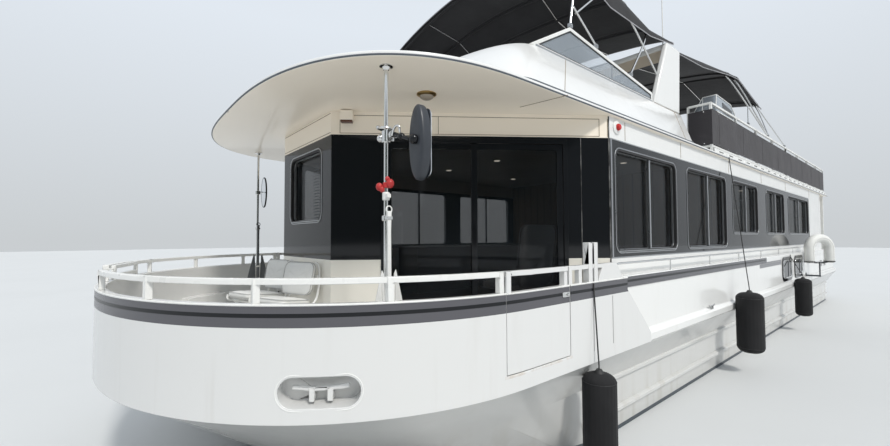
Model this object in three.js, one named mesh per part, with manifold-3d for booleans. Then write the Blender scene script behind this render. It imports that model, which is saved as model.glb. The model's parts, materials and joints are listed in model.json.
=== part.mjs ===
// A wide-bodied motor yacht with a rounded bow deck, a full-length glazed cabin and an open upper deck.
// Millimetres. +Z is up, the bow points to -Y, and the port side is +X.
// The origin is on the centreline, at the waterline.
import * as THREE from "three";
import { mergeVertices } from "three/addons/utils/BufferGeometryUtils.js";
import Module from "manifold-3d";

const wasm = await Module();
wasm.setup();

// Driving dimensions: lengths along the boat
const BOW_TIP = -9500;
const TRANSOM = 8300;
const PLATFORM_END = 9200;
const CABIN_FRONT = -7740;
const CABIN_CORNER = -5450;
const CABIN_AFT = 7200;
const ROOF_FRONT = -8530;
const ROOF_AFT = 8300;

// Driving dimensions: half widths
const HALF_DECK = 2540;
const HALF_WAIST = 2470;
const HALF_CABIN = 2350;
const HALF_FACET = 680;
const HALF_ROOF = 2390;
const HALF_WATER = 2270;

// Driving dimensions: heights over the waterline
const KEEL_Z = -620;
const HULL_TOP = 940;
const DECK_TOP = 1000;
const SILL_TOP = 1070;
const CAP_TOP = 1650;
const RAIL_TOP = 1805;
const BAND_TOP = 3050;
const WALL_TOP = 3310;
const ROOF_TOP = 3355;
const COAMING_TOP = 3970;
const ARCH_TOP = 5010;
const UPPER_RAIL_TOP = 4170;

// Driving dimensions: plan of the bow and of the roof's brow
const BOW_LENGTH = 2500;
const BOW_POWER = 2.07;
const BROW_LENGTH = 1855;
const BROW_POWER = 3.0;

// Driving dimensions: thicknesses and clearances
const BULWARK = 70;
const WALL = 60;
const GAP = 0.3;
const RUNNING_GAP = 6;
const BITE = 5;

// Driving dimensions: doors and gates
const GATE_FRONT = -7260;
const GATE_BACK = -6480;
const BOW_OPENING_PORT = 250;
const BOW_OPENING_STARBOARD = -450;
const DOOR_FROM = 490;
const DOOR_TO = 2390;
const DOOR_BOTTOM = 1030;

const { sin, cos, abs, sign, PI, hypot, atan2, acos, min, max } = Math;
const V = (x, y, z) => new THREE.Vector3(x, y, z);

// Materials
const paint = (color, roughness = 0.35, metalness = 0) =>
  new THREE.MeshStandardMaterial({ color, roughness, metalness });
const LOOK = {
  gelcoat: paint("#eceae4"),
  deck: paint("#cfccc4", 0.7),
  black: paint("#16181b", 0.15),
  glass: paint("#262c30", 0.05),
  steel: paint("#c9ccce", 0.2, 1),
  rail: paint("#f1f0ec", 0.3),
  canvas: paint("#17181b", 0.9),
  cloth: paint("#34363a", 0.9),
  rubber: paint("#3b3e43", 0.6),
  vinyl: paint("#eeece6", 0.5),
  bronze: paint("#a07a3c", 0.35, 1),
  iron: paint("#4a4d50", 0.5, 0.6),
  sole: paint("#8a7256", 0.6),
};

// Solid tools
function volumeOf(geometry) {
  const p = geometry.attributes.position;
  const index = geometry.index.array;
  const [a, b, c] = [V(), V(), V()];
  let total = 0;
  for (let i = 0; i < index.length; i += 3) {
    a.fromBufferAttribute(p, index[i]);
    b.fromBufferAttribute(p, index[i + 1]);
    c.fromBufferAttribute(p, index[i + 2]);
    total += a.dot(b.cross(c));
  }
  return total / 6;
}

function solid(geometry) {
  const bare = new THREE.BufferGeometry();
  bare.setAttribute("position", geometry.attributes.position);
  if (geometry.index) bare.setIndex(geometry.index);
  const merged = mergeVertices(bare, 0.001);
  const triVerts = new Uint32Array(merged.index.array);
  if (volumeOf(merged) < 0) {
    for (let i = 0; i < triVerts.length; i += 3) {
      [triVerts[i + 1], triVerts[i + 2]] = [triVerts[i + 2], triVerts[i + 1]];
    }
  }
  const vertProperties = merged.attributes.position.array;
  return new wasm.Manifold(new wasm.Mesh({ numProp: 3, vertProperties, triVerts }));
}

const join = (...pieces) => pieces.reduce((a, b) => a.add(b));
const cut = (from, ...tools) => tools.reduce((a, b) => a.subtract(b), from);

function box(x0, x1, y0, y1, z0, z1) {
  const geometry = new THREE.BoxGeometry(x1 - x0, y1 - y0, z1 - z0);
  return solid(geometry.translate((x0 + x1) / 2, (y0 + y1) / 2, (z0 + z1) / 2));
}

function extruded(points, depth) {
  const shape = new THREE.Shape(points.map(([u, v]) => new THREE.Vector2(u, v)));
  return new THREE.ExtrudeGeometry(shape, { depth, bevelEnabled: false });
}

// A plan outline of [x, y] points raised from z0 to z1.
const slab = (points, z0, z1) => solid(extruded(points, z1 - z0).translate(0, 0, z0));

// A side outline of [y, z] points carried from x0 to x1.
function sideSlab(points, x0, x1) {
  const geometry = extruded(points, x1 - x0);
  geometry.applyMatrix4(new THREE.Matrix4().makeBasis(V(0, 1, 0), V(0, 0, 1), V(1, 0, 0)));
  return solid(geometry.translate(x0, 0, 0));
}

// A cross outline of [x, z] points carried from y0 to y1.
function crossSlab(points, y0, y1) {
  const geometry = extruded(points, y1 - y0);
  geometry.applyMatrix4(new THREE.Matrix4().makeBasis(V(1, 0, 0), V(0, 0, 1), V(0, -1, 0)));
  return solid(geometry.translate(0, y1, 0));
}

// A skin through rings with equal numbers of points, closed by flat ends.
function loft(rings) {
  const count = rings[0].length;
  const position = rings.flatMap((ring) => ring.flatMap((p) => [p.x, p.y, p.z]));
  const index = [];
  rings.slice(1).forEach((_, r) => {
    for (let i = 0; i < count; i++) {
      const j = (i + 1) % count;
      const [a, b] = [r * count + i, r * count + j];
      index.push(a, b, b + count, a, b + count, a + count);
    }
  });
  const last = (rings.length - 1) * count;
  endCap(rings[0]).forEach(([a, b, c]) => index.push(a, c, b));
  endCap(rings.at(-1)).forEach(([a, b, c]) => index.push(last + a, last + b, last + c));
  const geometry = new THREE.BufferGeometry();
  geometry.setAttribute("position", new THREE.Float32BufferAttribute(position, 3));
  return solid(geometry.setIndex(index));
}

function endCap(ring) {
  const normal = V(0, 0, 0);
  ring.forEach((p, i) => {
    const q = ring[(i + 1) % ring.length];
    normal.add(V((p.y - q.y) * (p.z + q.z), (p.z - q.z) * (p.x + q.x), (p.x - q.x) * (p.y + q.y)));
  });
  const turn = new THREE.Quaternion().setFromUnitVectors(normal.normalize(), V(0, 0, 1));
  const flat = ring.map((p) => p.clone().applyQuaternion(turn));
  return THREE.ShapeUtils.triangulateShape(flat.map((p) => new THREE.Vector2(p.x, p.y)), []);
}

// A round bar along straight legs, mitred at each point.
function pipe(points, radius, sides = 8) {
  const rings = points.map((p, i) => {
    const back = i > 0 ? p.clone().sub(points[i - 1]).normalize() : null;
    const ahead = i < points.length - 1 ? points[i + 1].clone().sub(p).normalize() : null;
    const along = back && ahead ? back.clone().add(ahead).normalize() : back || ahead;
    const stretch = back && ahead ? 1 / max(0.4, along.dot(back)) : 1;
    return { p, along, stretch, bend: back && ahead ? ahead.clone().sub(back) : null };
  });
  let right = rings[0].along.z ** 2 > 0.9 ? V(1, 0, 0) : V(0, 0, 1).cross(rings[0].along);
  return loft(
    rings.map(({ p, along, stretch, bend }) => {
      right = right.clone().sub(along.clone().multiplyScalar(right.dot(along))).normalize();
      const up = along.clone().cross(right);
      return Array.from({ length: sides }, (_, k) => {
        const angle = (2 * PI * (k + 0.5)) / sides;
        const offset = right.clone().multiplyScalar(radius * cos(angle));
        offset.add(up.clone().multiplyScalar(radius * sin(angle)));
        if (bend && bend.length() > 0.01) {
          const side = bend.clone().normalize();
          offset.add(side.multiplyScalar(offset.dot(side) * (stretch - 1)));
        }
        return p.clone().add(offset);
      });
    }),
  );
}

const mirrored = (piece) => piece.mirror([1, 0, 0]);
const moved = (piece, x, y, z) => piece.translate([x, y, z]);
const turned = (piece, degrees) => piece.rotate([0, 0, degrees]);

// A disc or round post standing on z0, from a closed turned profile.
function turnedPost(profile, sides = 16) {
  const points = profile.map(([r, z]) => new THREE.Vector2(r, z));
  return solid(new THREE.LatheGeometry(points, sides).rotateX(PI / 2));
}

function ringOutline(x, y, radius, sides) {
  return Array.from({ length: sides }, (_, k) => {
    const angle = (2 * PI * k) / sides;
    return [x + radius * cos(angle), y + radius * sin(angle)];
  });
}

// A hinge on an upright pin: the ears and pin of the fixed side, and the barrel of the moving
// side. Each arm is a plan rectangle [x0, x1, y0, y1] that ties its side to what it hangs on.
const HINGE = { pin: 6, hole: 7, barrel: 11, tall: 60, ear: 16, play: 0.6, sides: 12 };
function hinge(x, y, z, fixedArm, movingArm) {
  const { pin, hole, barrel, tall, ear, play, sides } = HINGE;
  const round = (radius, z0, z1) => slab(ringOutline(x, y, radius, sides), z0, z1);
  const arm = ([x0, x1, y0, y1], z0, z1) => box(x0, x1, y0, y1, z0, z1);
  const [low, high] = [z - play - ear, z + tall + play];
  const ears = [low, high].flatMap((foot) => {
    return [round(barrel, foot, foot + ear), arm(fixedArm, foot, foot + ear)];
  });
  const moving = join(round(barrel, z, z + tall), arm(movingArm, z, z + tall));
  return {
    fixed: join(round(pin, low, high + ear), ...ears),
    moving: cut(moving, round(hole, low, high)),
  };
}

// The part's group, and one named mesh for each piece
const boat = new THREE.Group();
boat.name = "motor_yacht";

function place(name, piece, look) {
  const made = piece.getMesh();
  const geometry = new THREE.BufferGeometry();
  geometry.setAttribute("position", new THREE.BufferAttribute(made.vertProperties, 3));
  geometry.setIndex(new THREE.BufferAttribute(made.triVerts, 1));
  const flat = geometry.toNonIndexed();
  flat.computeVertexNormals();
  const mesh = new THREE.Mesh(flat, look);
  mesh.name = name;
  boat.add(mesh);
}

function placePair(name, port, look) {
  place(`${name}_port`, port, look);
  place(`${name}_starboard`, mirrored(port), look);
}

// Plan curves: a rounded end, then straight sides. Station 0 is the tip, 1 the end of the round
// on the port side, and each 1 past that is a metre of straight side. Negative is starboard.
function planPoint(tip, half, length, power, inset, station) {
  const part = min(1, abs(station));
  const angle = (part * PI) / 2;
  const x = (half - inset) * sin(angle) ** (2 / power);
  const straight = max(0, abs(station) - 1) * 1000;
  const y = tip + length - (length - inset) * cos(angle) ** (2 / power) + straight;
  return [sign(station) * x, y];
}

function planArc(tip, half, length, power, inset, from, to, steps) {
  const points = [];
  for (let i = 0; i <= steps; i++) {
    points.push(planPoint(tip, half, length, power, inset, from + ((to - from) * i) / steps));
  }
  return points;
}

const bowArc = (inset, from, to, steps = 24) =>
  planArc(BOW_TIP, HALF_DECK, BOW_LENGTH, BOW_POWER, inset, from, to, steps);
const browArc = (inset, from, to, steps = 20) =>
  planArc(ROOF_FRONT, HALF_ROOF, BROW_LENGTH, BROW_POWER, inset, from, to, steps);

// Hull: waterlines from the keel up. Columns: height, half width, stem, length of the bow's
// round, power of its plan curve, transom.
const WATERLINES = [
  [KEEL_Z, 110, -6100, 2600, 1.5, 7400],
  [-420, 1250, -7000, 2900, 1.5, 8120],
  [-180, 2190, -7850, 2900, 1.6, 8240],
  [0, HALF_WATER, -8240, 2750, 1.65, 8260],
  [300, HALF_WATER + 5, -8690, 2700, 1.7, 8270],
  [580, HALF_WATER + 10, -9050, 2600, 1.8, 8280],
  [HULL_TOP, HALF_DECK - 12, -9488, 2488, 2.07, TRANSOM],
];
const STRAKE = { heights: [240, 580], out: HALF_WATER + 12, from: -5900, to: 8200, radius: 38 };

// Running gear: a tilted shaft and its propeller, and a rudder, on each side
const DRIVE = { x: 950, shaftFront: V(950, 5200, -530), hub: V(950, 7050, -800), radius: 270 };
const SHAFT = 24;
const LOG = { half: 60, from: 4950, to: 5190, bottom: -600, top: -400 };
const RUDDER = { y: 7680, stock: 32, seat: -500, boss: 60, top: -560, bottom: -1090 };
const SKEG = { half: 45, from: -4200, to: 5600, deep: 90 };

function hull() {
  const rings = WATERLINES.map(([z, half, stem, length, power, end]) => {
    const port = planArc(stem, half, length, power, 0, 0, 1, 12).slice(1);
    const side = [...port, [half, (port.at(-1)[1] + end) / 2], [half, end]];
    const ring = [[0, stem], ...side, ...side.toReversed().map(([x, y]) => [-x, y])];
    return ring.map(([x, y]) => V(x, y, z));
  });
  const strakes = STRAKE.heights.flatMap((z) => {
    const bar = pipe([V(STRAKE.out, STRAKE.from, z), V(STRAKE.out, STRAKE.to, z)], STRAKE.radius, 6);
    return [bar, mirrored(bar)];
  });
  const skeg = box(-SKEG.half, SKEG.half, SKEG.from, SKEG.to, KEEL_Z - SKEG.deep, KEEL_Z + SKEG.half);
  const { x } = DRIVE;
  const log = box(x - LOG.half, x + LOG.half, LOG.from, LOG.to, LOG.bottom, LOG.top);
  const boss = slab(ringOutline(x, RUDDER.y, RUDDER.boss, 16), RUDDER.seat, RUDDER.seat + 150);
  return join(loft(rings), skeg, log, mirrored(log), boss, mirrored(boss), ...strakes);
}
const hullSolid = hull();
place("hull", hullSolid, LOOK.gelcoat);

// A piece cut back to lie just off the hull, in the direction given.
const offHull = (piece, dy, dz) => cut(piece, hullSolid, moved(hullSolid, 0, dy, dz));

// Main deck: one floor inside the bulwark and under the cabin.
function mainDeck() {
  const inset = BULWARK + GAP;
  const edge = bowArc(inset, -1, 1);
  const half = HALF_CABIN;
  const outline = [[-half, TRANSOM], [-half, CABIN_CORNER], [-HALF_WAIST + GAP, CABIN_CORNER]];
  outline.push(...edge, [HALF_WAIST - GAP, CABIN_CORNER], [half, CABIN_CORNER], [half, TRANSOM]);
  return slab(outline, HULL_TOP + GAP, DECK_TOP);
}
place("main_deck", mainDeck(), LOOK.deck);

// Bow rail: square posts and a flat top rail.
const RAIL = { inset: 12, width: 46, height: 38, post: 44 };

// Rail stub and gusset on each side, aft of the gate.
const BITTS = { ys: [-6180, -6090], wide: 60, top: 2000 };
function railEnd() {
  const x1 = HALF_DECK - RAIL.inset;
  const x0 = x1 - RAIL.width;
  const y0 = GATE_BACK + 3;
  const foot = CAP_TOP - BITE;
  const rail = box(x0, x1, y0, -5900, RAIL_TOP - RAIL.height, RAIL_TOP);
  const posts = [y0, -6330].map((y) => box(x0, x1, y, y + RAIL.post, foot, RAIL_TOP - 2));
  const plate = [[-6020, foot], [-5560, foot], [-5680, RAIL_TOP], [-5920, RAIL_TOP]];
  const gusset = sideSlab(plate, x0, x1);
  const bitts = BITTS.ys.map((y) => box(x0 - 8, x1 + 6, y, y + BITTS.wide, foot, BITTS.top));
  return join(rail, gusset, ...posts, ...bitts);
}

// Bow bulwark: a wall round the bow deck, with mooring pockets and cleats, and two side openings.
const POCKET = { x: 2075, y: -8430, angle: 57, length: 490, height: 185, z: 1128, depth: 120 };
const CLEAT = { post: 55, half: 16, base: -75, foot: -45, horn: 170, rise: 14, radius: 16 };
const BULWARK_END = { top: -5490, bottom: -4990, knee: 1530, foot: 1040 };

const BOW_REACH = 1 + (BULWARK_END.bottom - (BOW_TIP + BOW_LENGTH)) / 1000;

// The side gate's hinges stand on the bulwark's inner face, forward of the gate.
const GATE_HINGE = { x: 2441, y: GATE_FRONT + RUNNING_GAP / 2, heights: [1180, 1470] };
const gateHinges = GATE_HINGE.heights.map((z) => {
  const { x, y } = GATE_HINGE;
  const [x0, x1] = [x - 7, x + 30];
  return hinge(x, y, z, [x0, x1, y - 35, y - BITE], [x0, x1, y + BITE, y + 35]);
});

// A band that follows the bow on both sides, from one distance inside the edge to another.
function bowBand(inset0, inset1, z0, z1) {
  const edge = (inset) => [
    planPoint(BOW_TIP, HALF_DECK, BOW_LENGTH, BOW_POWER, inset, -BOW_REACH),
    ...bowArc(inset, -1, 1),
    planPoint(BOW_TIP, HALF_DECK, BOW_LENGTH, BOW_POWER, inset, BOW_REACH),
  ];
  return slab([...edge(inset0), ...edge(inset1).toReversed()], z0, z1);
}

function ovalSlot(length, height, depth) {
  const shape = new THREE.Shape();
  const reach = (length - height) / 2;
  shape.absarc(reach, 0, height / 2, -PI / 2, PI / 2);
  shape.absarc(-reach, 0, height / 2, PI / 2, (3 * PI) / 2);
  const geometry = new THREE.ExtrudeGeometry(shape, { depth, bevelEnabled: false, curveSegments: 5 });
  return solid(geometry.rotateX(PI / 2).translate(0, depth / 2, 0));
}

// Made with its outer face at y = 0 facing -Y, then turned to the bulwark's own direction.
function pocketTools() {
  const { length, height, depth, z } = POCKET;
  const { post, half, base, foot, horn, rise, radius } = CLEAT;
  const long = length / 2 + 60;
  const boss = box(-long, long, 20, depth + 50, DECK_TOP + GAP, z + height / 2 + 45);
  const slot = moved(ovalSlot(length, height, 2 * depth), 0, 0, z);
  const pieces = [-post, post].flatMap((x) => [
    box(x - half, x + half, 30, depth + 20, z + base, z + foot),
    box(x - half, x + half, 30, 70, z + base, z + BITE),
  ]);
  const path = [[-horn, rise], [-post, 0], [post, 0], [horn, rise]].map(([x, up]) => V(x, 50, z + up));
  return { boss, slot, cleat: join(...pieces, pipe(path, radius, 6)) };
}

function bowBulwark() {
  let wall = bowBand(0, BULWARK, HULL_TOP + GAP, CAP_TOP);
  const { boss, slot, cleat } = pocketTools();
  for (const side of [1, -1]) {
    const turn = (piece) => {
      const set = moved(turned(piece, POCKET.angle), POCKET.x, POCKET.y, 0);
      return side > 0 ? set : mirrored(set);
    };
    wall = join(cut(join(wall, turn(boss)), turn(slot)), turn(cleat));
    const x0 = side > 0 ? HALF_DECK - 400 : -HALF_DECK - 10;
    wall = cut(wall, box(x0, x0 + 410, GATE_FRONT, GATE_BACK, SILL_TOP, CAP_TOP + 10));
  }
  const { top, bottom, knee, foot } = BULWARK_END;
  const slope = [[top, CAP_TOP + 10], [top, knee], [bottom, foot]];
  slope.push([bottom + 50, foot], [bottom + 50, CAP_TOP + 10]);
  const walls = cut(wall, sideSlab(slope, -HALF_DECK - 10, HALF_DECK + 10));
  const ends = [railEnd(), ...gateHinges.map(({ fixed }) => fixed)];
  return join(walls, ...ends, ...ends.map(mirrored));
}
place("bow_bulwark", bowBulwark(), LOOK.gelcoat);

// Side decks: the raised waist along the cabin, with a ledge above the knuckle.
function sideDeck() {
  const section = [[HALF_CABIN + GAP, HULL_TOP + GAP], [HALF_DECK - 12, HULL_TOP + GAP]];
  section.push([HALF_DECK - 12, 1030], [HALF_WAIST - GAP, 1060], [HALF_WAIST - GAP, CAP_TOP]);
  section.push([HALF_CABIN + GAP, CAP_TOP]);
  const body = crossSlab(section, CABIN_CORNER + GAP, TRANSOM);
  const [front, back] = [CABIN_CORNER, BULWARK_END.bottom + 20];
  return cut(body, box(HALF_WAIST - GAP, HALF_DECK + 10, front, back, 900, 1600));
}
placePair("side_deck", sideDeck(), LOOK.gelcoat);

// Bow rails, open at the tip and at the side gates
const PORT_POSTS = [0.295, 0.511, 0.723];
const STARBOARD_POSTS = [-0.39, -0.6, -0.8];
const GATE_POST_BACK = 0.008;

function railPost(station) {
  const inset = RAIL.inset + RAIL.width / 2;
  const [x, y] = planPoint(BOW_TIP, HALF_DECK, BOW_LENGTH, BOW_POWER, inset, station);
  const half = RAIL.post / 2;
  return box(x - half, x + half, y - half, y + half, CAP_TOP + GAP, RAIL_TOP - 2);
}

function railBand() {
  const { inset, width, height } = RAIL;
  return bowBand(inset, inset + width, RAIL_TOP - height, RAIL_TOP);
}

const bowStation = (x) => (2 / PI) * Math.asin((abs(x) / HALF_DECK) ** (BOW_POWER / 2)) * sign(x);
function bowStationAtY(y) {
  const share = (BOW_TIP + BOW_LENGTH - y) / BOW_LENGTH;
  return (2 / PI) * acos(share ** (BOW_POWER / 2));
}

function bowRails() {
  const gate = bowStationAtY(GATE_FRONT) - GATE_POST_BACK;
  const run = railBand();
  const y1 = GATE_FRONT - 3;
  const port = run.intersect(box(BOW_OPENING_PORT, 3000, -9600, y1, 0, 3000));
  const starboard = run.intersect(box(-3000, BOW_OPENING_STARBOARD, -9600, y1, 0, 3000));
  const portPosts = [bowStation(BOW_OPENING_PORT + 30), ...PORT_POSTS, gate];
  const starboardPosts = [bowStation(BOW_OPENING_STARBOARD - 30), ...STARBOARD_POSTS, -gate];
  return [join(port, ...portPosts.map(railPost)), join(starboard, ...starboardPosts.map(railPost))];
}
const [railPort, railStarboard] = bowRails();
place("bow_rail_port", railPort, LOOK.rail);

// Side gates: a piece of the bulwark with its own rail, hung at its forward edge.
function sideGate() {
  const [y0, y1] = [GATE_FRONT + RUNNING_GAP, GATE_BACK - 2 * RUNNING_GAP];
  const panel = bowBand(0, BULWARK, SILL_TOP + RUNNING_GAP, CAP_TOP);
  const x = HALF_DECK - RAIL.inset;
  const posts = [y0, y1 - RAIL.post].map((y) => {
    return box(x - 60, x - 8, y, y + RAIL.post, CAP_TOP - BITE, RAIL_TOP - 2);
  });
  const span = box(2000, 3000, y0, y1, 0, 3000);
  const leaf = join(panel, railBand(), ...posts).intersect(span);
  return join(leaf, ...gateHinges.map(({ moving }) => moving));
}
placePair("side_gate", sideGate(), LOOK.gelcoat);

// Bow gate: a short rail hung on the starboard rail's end post, folded back inside the rail.
// It is made along +X from its end post, with its outboard side at +Y, and then turned.
const BOW_GATE = { from: -480, to: -1150, inset: 88, half: 16, pinBack: 13, hingeFoot: 1700 };
function bowGate() {
  const { inset, half, pinBack, hingeFoot } = BOW_GATE;
  const at = (x) => planPoint(BOW_TIP, HALF_DECK, BOW_LENGTH, BOW_POWER, inset, bowStation(x));
  const start = V(...at(BOW_GATE.from), 0);
  const end = V(...at(BOW_GATE.to), 0);
  const angle = (atan2(end.y - start.y, end.x - start.x) * 180) / PI;
  const long = hypot(end.y - start.y, end.x - start.x);
  const set = (piece) => moved(turned(piece, angle), start.x, start.y, 0);
  const bars = [RAIL_TOP - 38, CAP_TOP + 30].map((z) => box(0, long, -half, half, z, z + 34));
  const posts = [0, long - 36].map((x) => box(x, x + 36, -half, half, CAP_TOP + 12, RAIL_TOP - 6));
  const pin = -pinBack;
  const ear = [pin - 10, pin + 10, BITE, 45];
  const { fixed, moving } = hinge(pin, 0, hingeFoot, ear, [pin + BITE, 20, -10, 10]);
  return { gate: set(join(...bars, ...posts, moving)), ears: set(fixed) };
}
const { gate: bowGateLeaf, ears: bowGateEars } = bowGate();
place("bow_rail_starboard", join(railStarboard, bowGateEars), LOOK.rail);
place("bow_gate", bowGateLeaf, LOOK.rail);

// Cabin walls: a front facet, two corner facets, two sides and an aft wall, with windows cut.
const FACET = {
  start: V(HALF_FACET, CABIN_FRONT, 0),
  end: V(HALF_CABIN, CABIN_CORNER, 0),
};
FACET.length = FACET.start.distanceTo(FACET.end);
FACET.angle = (atan2(FACET.end.y - FACET.start.y, FACET.end.x - FACET.start.x) * 180) / PI;

// A piece made along +X from 0, with its outside at y = 0 facing -Y, set on the port facet.
const onFacet = (piece) => moved(turned(piece, FACET.angle), FACET.start.x, FACET.start.y, 0);

// Where the walls' faces meet, at a distance inside their outer faces.
const frontCorner = (inset) => [
  HALF_FACET - inset * Math.tan(((FACET.angle / 2) * PI) / 180),
  CABIN_FRONT + inset,
];
const sideCorner = (inset) => [
  HALF_CABIN - inset,
  CABIN_CORNER + inset * Math.tan((((90 - FACET.angle) / 2) * PI) / 180),
];
const innerFront = frontCorner(WALL);
const innerCorner = sideCorner(WALL);
const SEAM = GAP / 2;

function wallSlab(points, z0 = DECK_TOP + GAP, z1 = WALL_TOP) {
  return slab(points, z0, z1);
}

// Window columns: start, end, bottom, top, all along the wall.
const FRONT_WINDOW = [-450, 450, 2220, 2980];
const SIDE_WINDOWS = [
  [-5330, -3730, 1885, 2990],
  [-3360, -1700, 1885, 2990],
  [-1360, 190, 2095, 2990],
  [830, 2400, 2095, 2990],
  [2830, 5250, 2095, 2990],
];
const AFT_WINDOW = [-1900, -800, 1900, 2900];
const CORNER_WINDOWS = [
  [330, 1330, 1885, 2990],
  [1420, 2520, 1885, 2990],
];

function cabinFront() {
  const [ix, iy] = innerFront;
  const x = HALF_FACET - SEAM;
  const wall = wallSlab([[-x, CABIN_FRONT], [x, CABIN_FRONT], [ix - SEAM, iy], [-ix + SEAM, iy]]);
  const [a, b, z0, z1] = FRONT_WINDOW;
  return cut(wall, box(a, b, CABIN_FRONT - 10, CABIN_FRONT + WALL + 10, z0, z1));
}
place("cabin_front", cabinFront(), LOOK.gelcoat);

function cornerWall(holes) {
  const outline = [[FACET.start.x + SEAM, FACET.start.y], [FACET.end.x, FACET.end.y - SEAM]];
  outline.push([innerCorner[0], innerCorner[1] - SEAM], [innerFront[0] + SEAM, innerFront[1] + SEAM]);
  const tools = holes.map(([a, b, z0, z1]) => onFacet(box(a, b, -20, WALL + 20, z0, z1)));
  return cut(wallSlab(outline), ...tools);
}
const doorway = [[DOOR_FROM, DOOR_TO, DOOR_BOTTOM, BAND_TOP]];
place("cabin_corner_port", cornerWall(doorway), LOOK.gelcoat);
place("cabin_corner_starboard", mirrored(cornerWall(CORNER_WINDOWS)), LOOK.gelcoat);

function cabinSide() {
  const [ix, iy] = innerCorner;
  const outline = [[HALF_CABIN, CABIN_CORNER + SEAM], [HALF_CABIN, CABIN_AFT]];
  outline.push([ix, CABIN_AFT], [ix, iy + SEAM]);
  const tools = SIDE_WINDOWS.map(([a, b, z0, z1]) => box(ix - 10, HALF_CABIN + 10, a, b, z0, z1));
  return cut(wallSlab(outline), ...tools);
}
placePair("cabin_side", cabinSide(), LOOK.gelcoat);

const AFT_DOOR = { x0: -350, x1: 350, z1: 2960, hinges: [1250, 2600] };
const aftHinges = AFT_DOOR.hinges.map((z) => {
  const x = AFT_DOOR.x1 - RUNNING_GAP / 2;
  const y = CABIN_AFT + HINGE.barrel + 1;
  const [y0, y1] = [CABIN_AFT - 15, y + 4];
  return hinge(x, y, z, [x + BITE, x + 35, y0, y1], [x - 35, x - BITE, y0, y1]);
});
function cabinAft() {
  const half = HALF_CABIN - WALL - GAP;
  const wall = box(-half, half, CABIN_AFT - WALL, CABIN_AFT, DECK_TOP + GAP, WALL_TOP);
  const [y0, y1] = [CABIN_AFT - 100, CABIN_AFT + 10];
  const hole = box(AFT_DOOR.x0, AFT_DOOR.x1, y0, y1, DOOR_BOTTOM, AFT_DOOR.z1);
  const [a, b, z0, z1] = AFT_WINDOW;
  const window = box(a, b, y0, y1, z0, z1);
  return join(cut(wall, hole, window), ...aftHinges.map(({ fixed }) => fixed));
}
place("cabin_aft", cabinAft(), LOOK.gelcoat);

// Glazing: strips of dark glass fixed inside the window openings.
const GLASS = 8;
const [PANE_BOTTOM, PANE_TOP] = [1840, 3020];
function sideGlazing() {
  const x1 = HALF_CABIN - WALL - GAP;
  return box(x1 - GLASS, x1, -5300, 5350, PANE_BOTTOM, PANE_TOP);
}
placePair("side_glazing", sideGlazing(), LOOK.glass);

function aftGlazing() {
  const [a, b, z0, z1] = AFT_WINDOW;
  const y1 = CABIN_AFT - WALL - GAP;
  return box(a - 30, b + 30, y1 - GLASS, y1, z0 - 30, z1 + 30);
}
place("aft_glazing", aftGlazing(), LOOK.glass);

function frontGlazing() {
  const [outside, inside] = [WALL + GAP, WALL + GAP + GLASS];
  const [portEnd] = frontCorner(outside);
  const bend = ([x, y]) => [-x, y];
  const end = ([x, y]) => [-x + 40, y - 55];
  const start = portEnd - 60;
  const outline = [[start, CABIN_FRONT + outside], bend(frontCorner(outside)), end(sideCorner(outside))];
  outline.push(end(sideCorner(inside)), bend(frontCorner(inside)), [start, CABIN_FRONT + inside]);
  return slab(outline, PANE_BOTTOM, PANE_TOP);
}
place("front_glazing", frontGlazing(), LOOK.glass);

// Front door: a framed opening with a fixed leaf, and a leaf that slides across it.
const DOOR = { meet: 1426, frame: 45, leaf: 26, rail: 60 };
const HANDLE = { bottom: 1980, top: 2200, thick: 20, out: -40, grip: -26 };
function doorLeaf(a, b, z0, z1, y) {
  const { rail, leaf } = DOOR;
  const frame = box(a, b, y, y + leaf, z0, z1);
  const pane = box(a + rail, b - rail, y - 10, y + leaf + 10, z0 + rail, z1 - rail);
  const glass = box(a + rail - 5, b - rail + 5, y + 9, y + 17, z0 + rail - 5, z1 - rail + 5);
  return join(cut(frame, pane), glass);
}

function doorFixed() {
  const [z0, z1] = [DOOR_BOTTOM + GAP, BAND_TOP - GAP];
  const [a, b] = [DOOR_FROM + GAP, DOOR_TO - GAP];
  const { frame, meet } = DOOR;
  const outer = box(a, b, -12, WALL, z0, z1);
  const hole = box(a + frame, b - frame, -20, WALL + 20, z0 + frame, z1 - frame);
  const leaf = doorLeaf(a + frame - 5, meet + 30, z0 + frame - 5, z1 - frame + 5, 32);
  return onFacet(join(cut(outer, hole), leaf));
}
place("door_fixed", doorFixed(), LOOK.black);

function doorSliding() {
  const { frame, meet } = DOOR;
  const clear = RUNNING_GAP;
  const [z0, z1] = [DOOR_BOTTOM + frame + clear, BAND_TOP - frame - clear];
  const leaf = doorLeaf(meet - 30, DOOR_TO - frame - clear, z0, z1, -2);
  const { bottom, top, thick, out, grip } = HANDLE;
  const [h0, h1] = [meet + 2, meet + 2 + thick];
  const handle = join(box(h0, h1, out, grip, bottom, top), box(h0, h1, out, 2, bottom, bottom + thick));
  const rollers = [meet + 60, DOOR_TO - frame - 140].map((s) => {
    return box(s, s + 60, 4, 18, z0 - clear + 2 * GAP, z0 + BITE);
  });
  return onFacet(join(leaf, handle, ...rollers));
}
place("door_sliding", doorSliding(), LOOK.black);

// Aft door: hinged at its port edge, opening onto the aft deck.
function aftDoor() {
  const { x0, x1, z1 } = AFT_DOOR;
  const clear = RUNNING_GAP;
  const [y0, y1] = [CABIN_AFT - 45, CABIN_AFT - BITE];
  const leaf = box(x0 + clear, x1 - clear, y0, y1, DOOR_BOTTOM + clear, z1 - clear);
  const knob = box(x0 + 60, x0 + 90, CABIN_AFT - 10, CABIN_AFT + 40, 1980, 2010);
  return join(leaf, knob, ...aftHinges.map(({ moving }) => moving));
}
place("aft_door", aftDoor(), LOOK.gelcoat);

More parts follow.
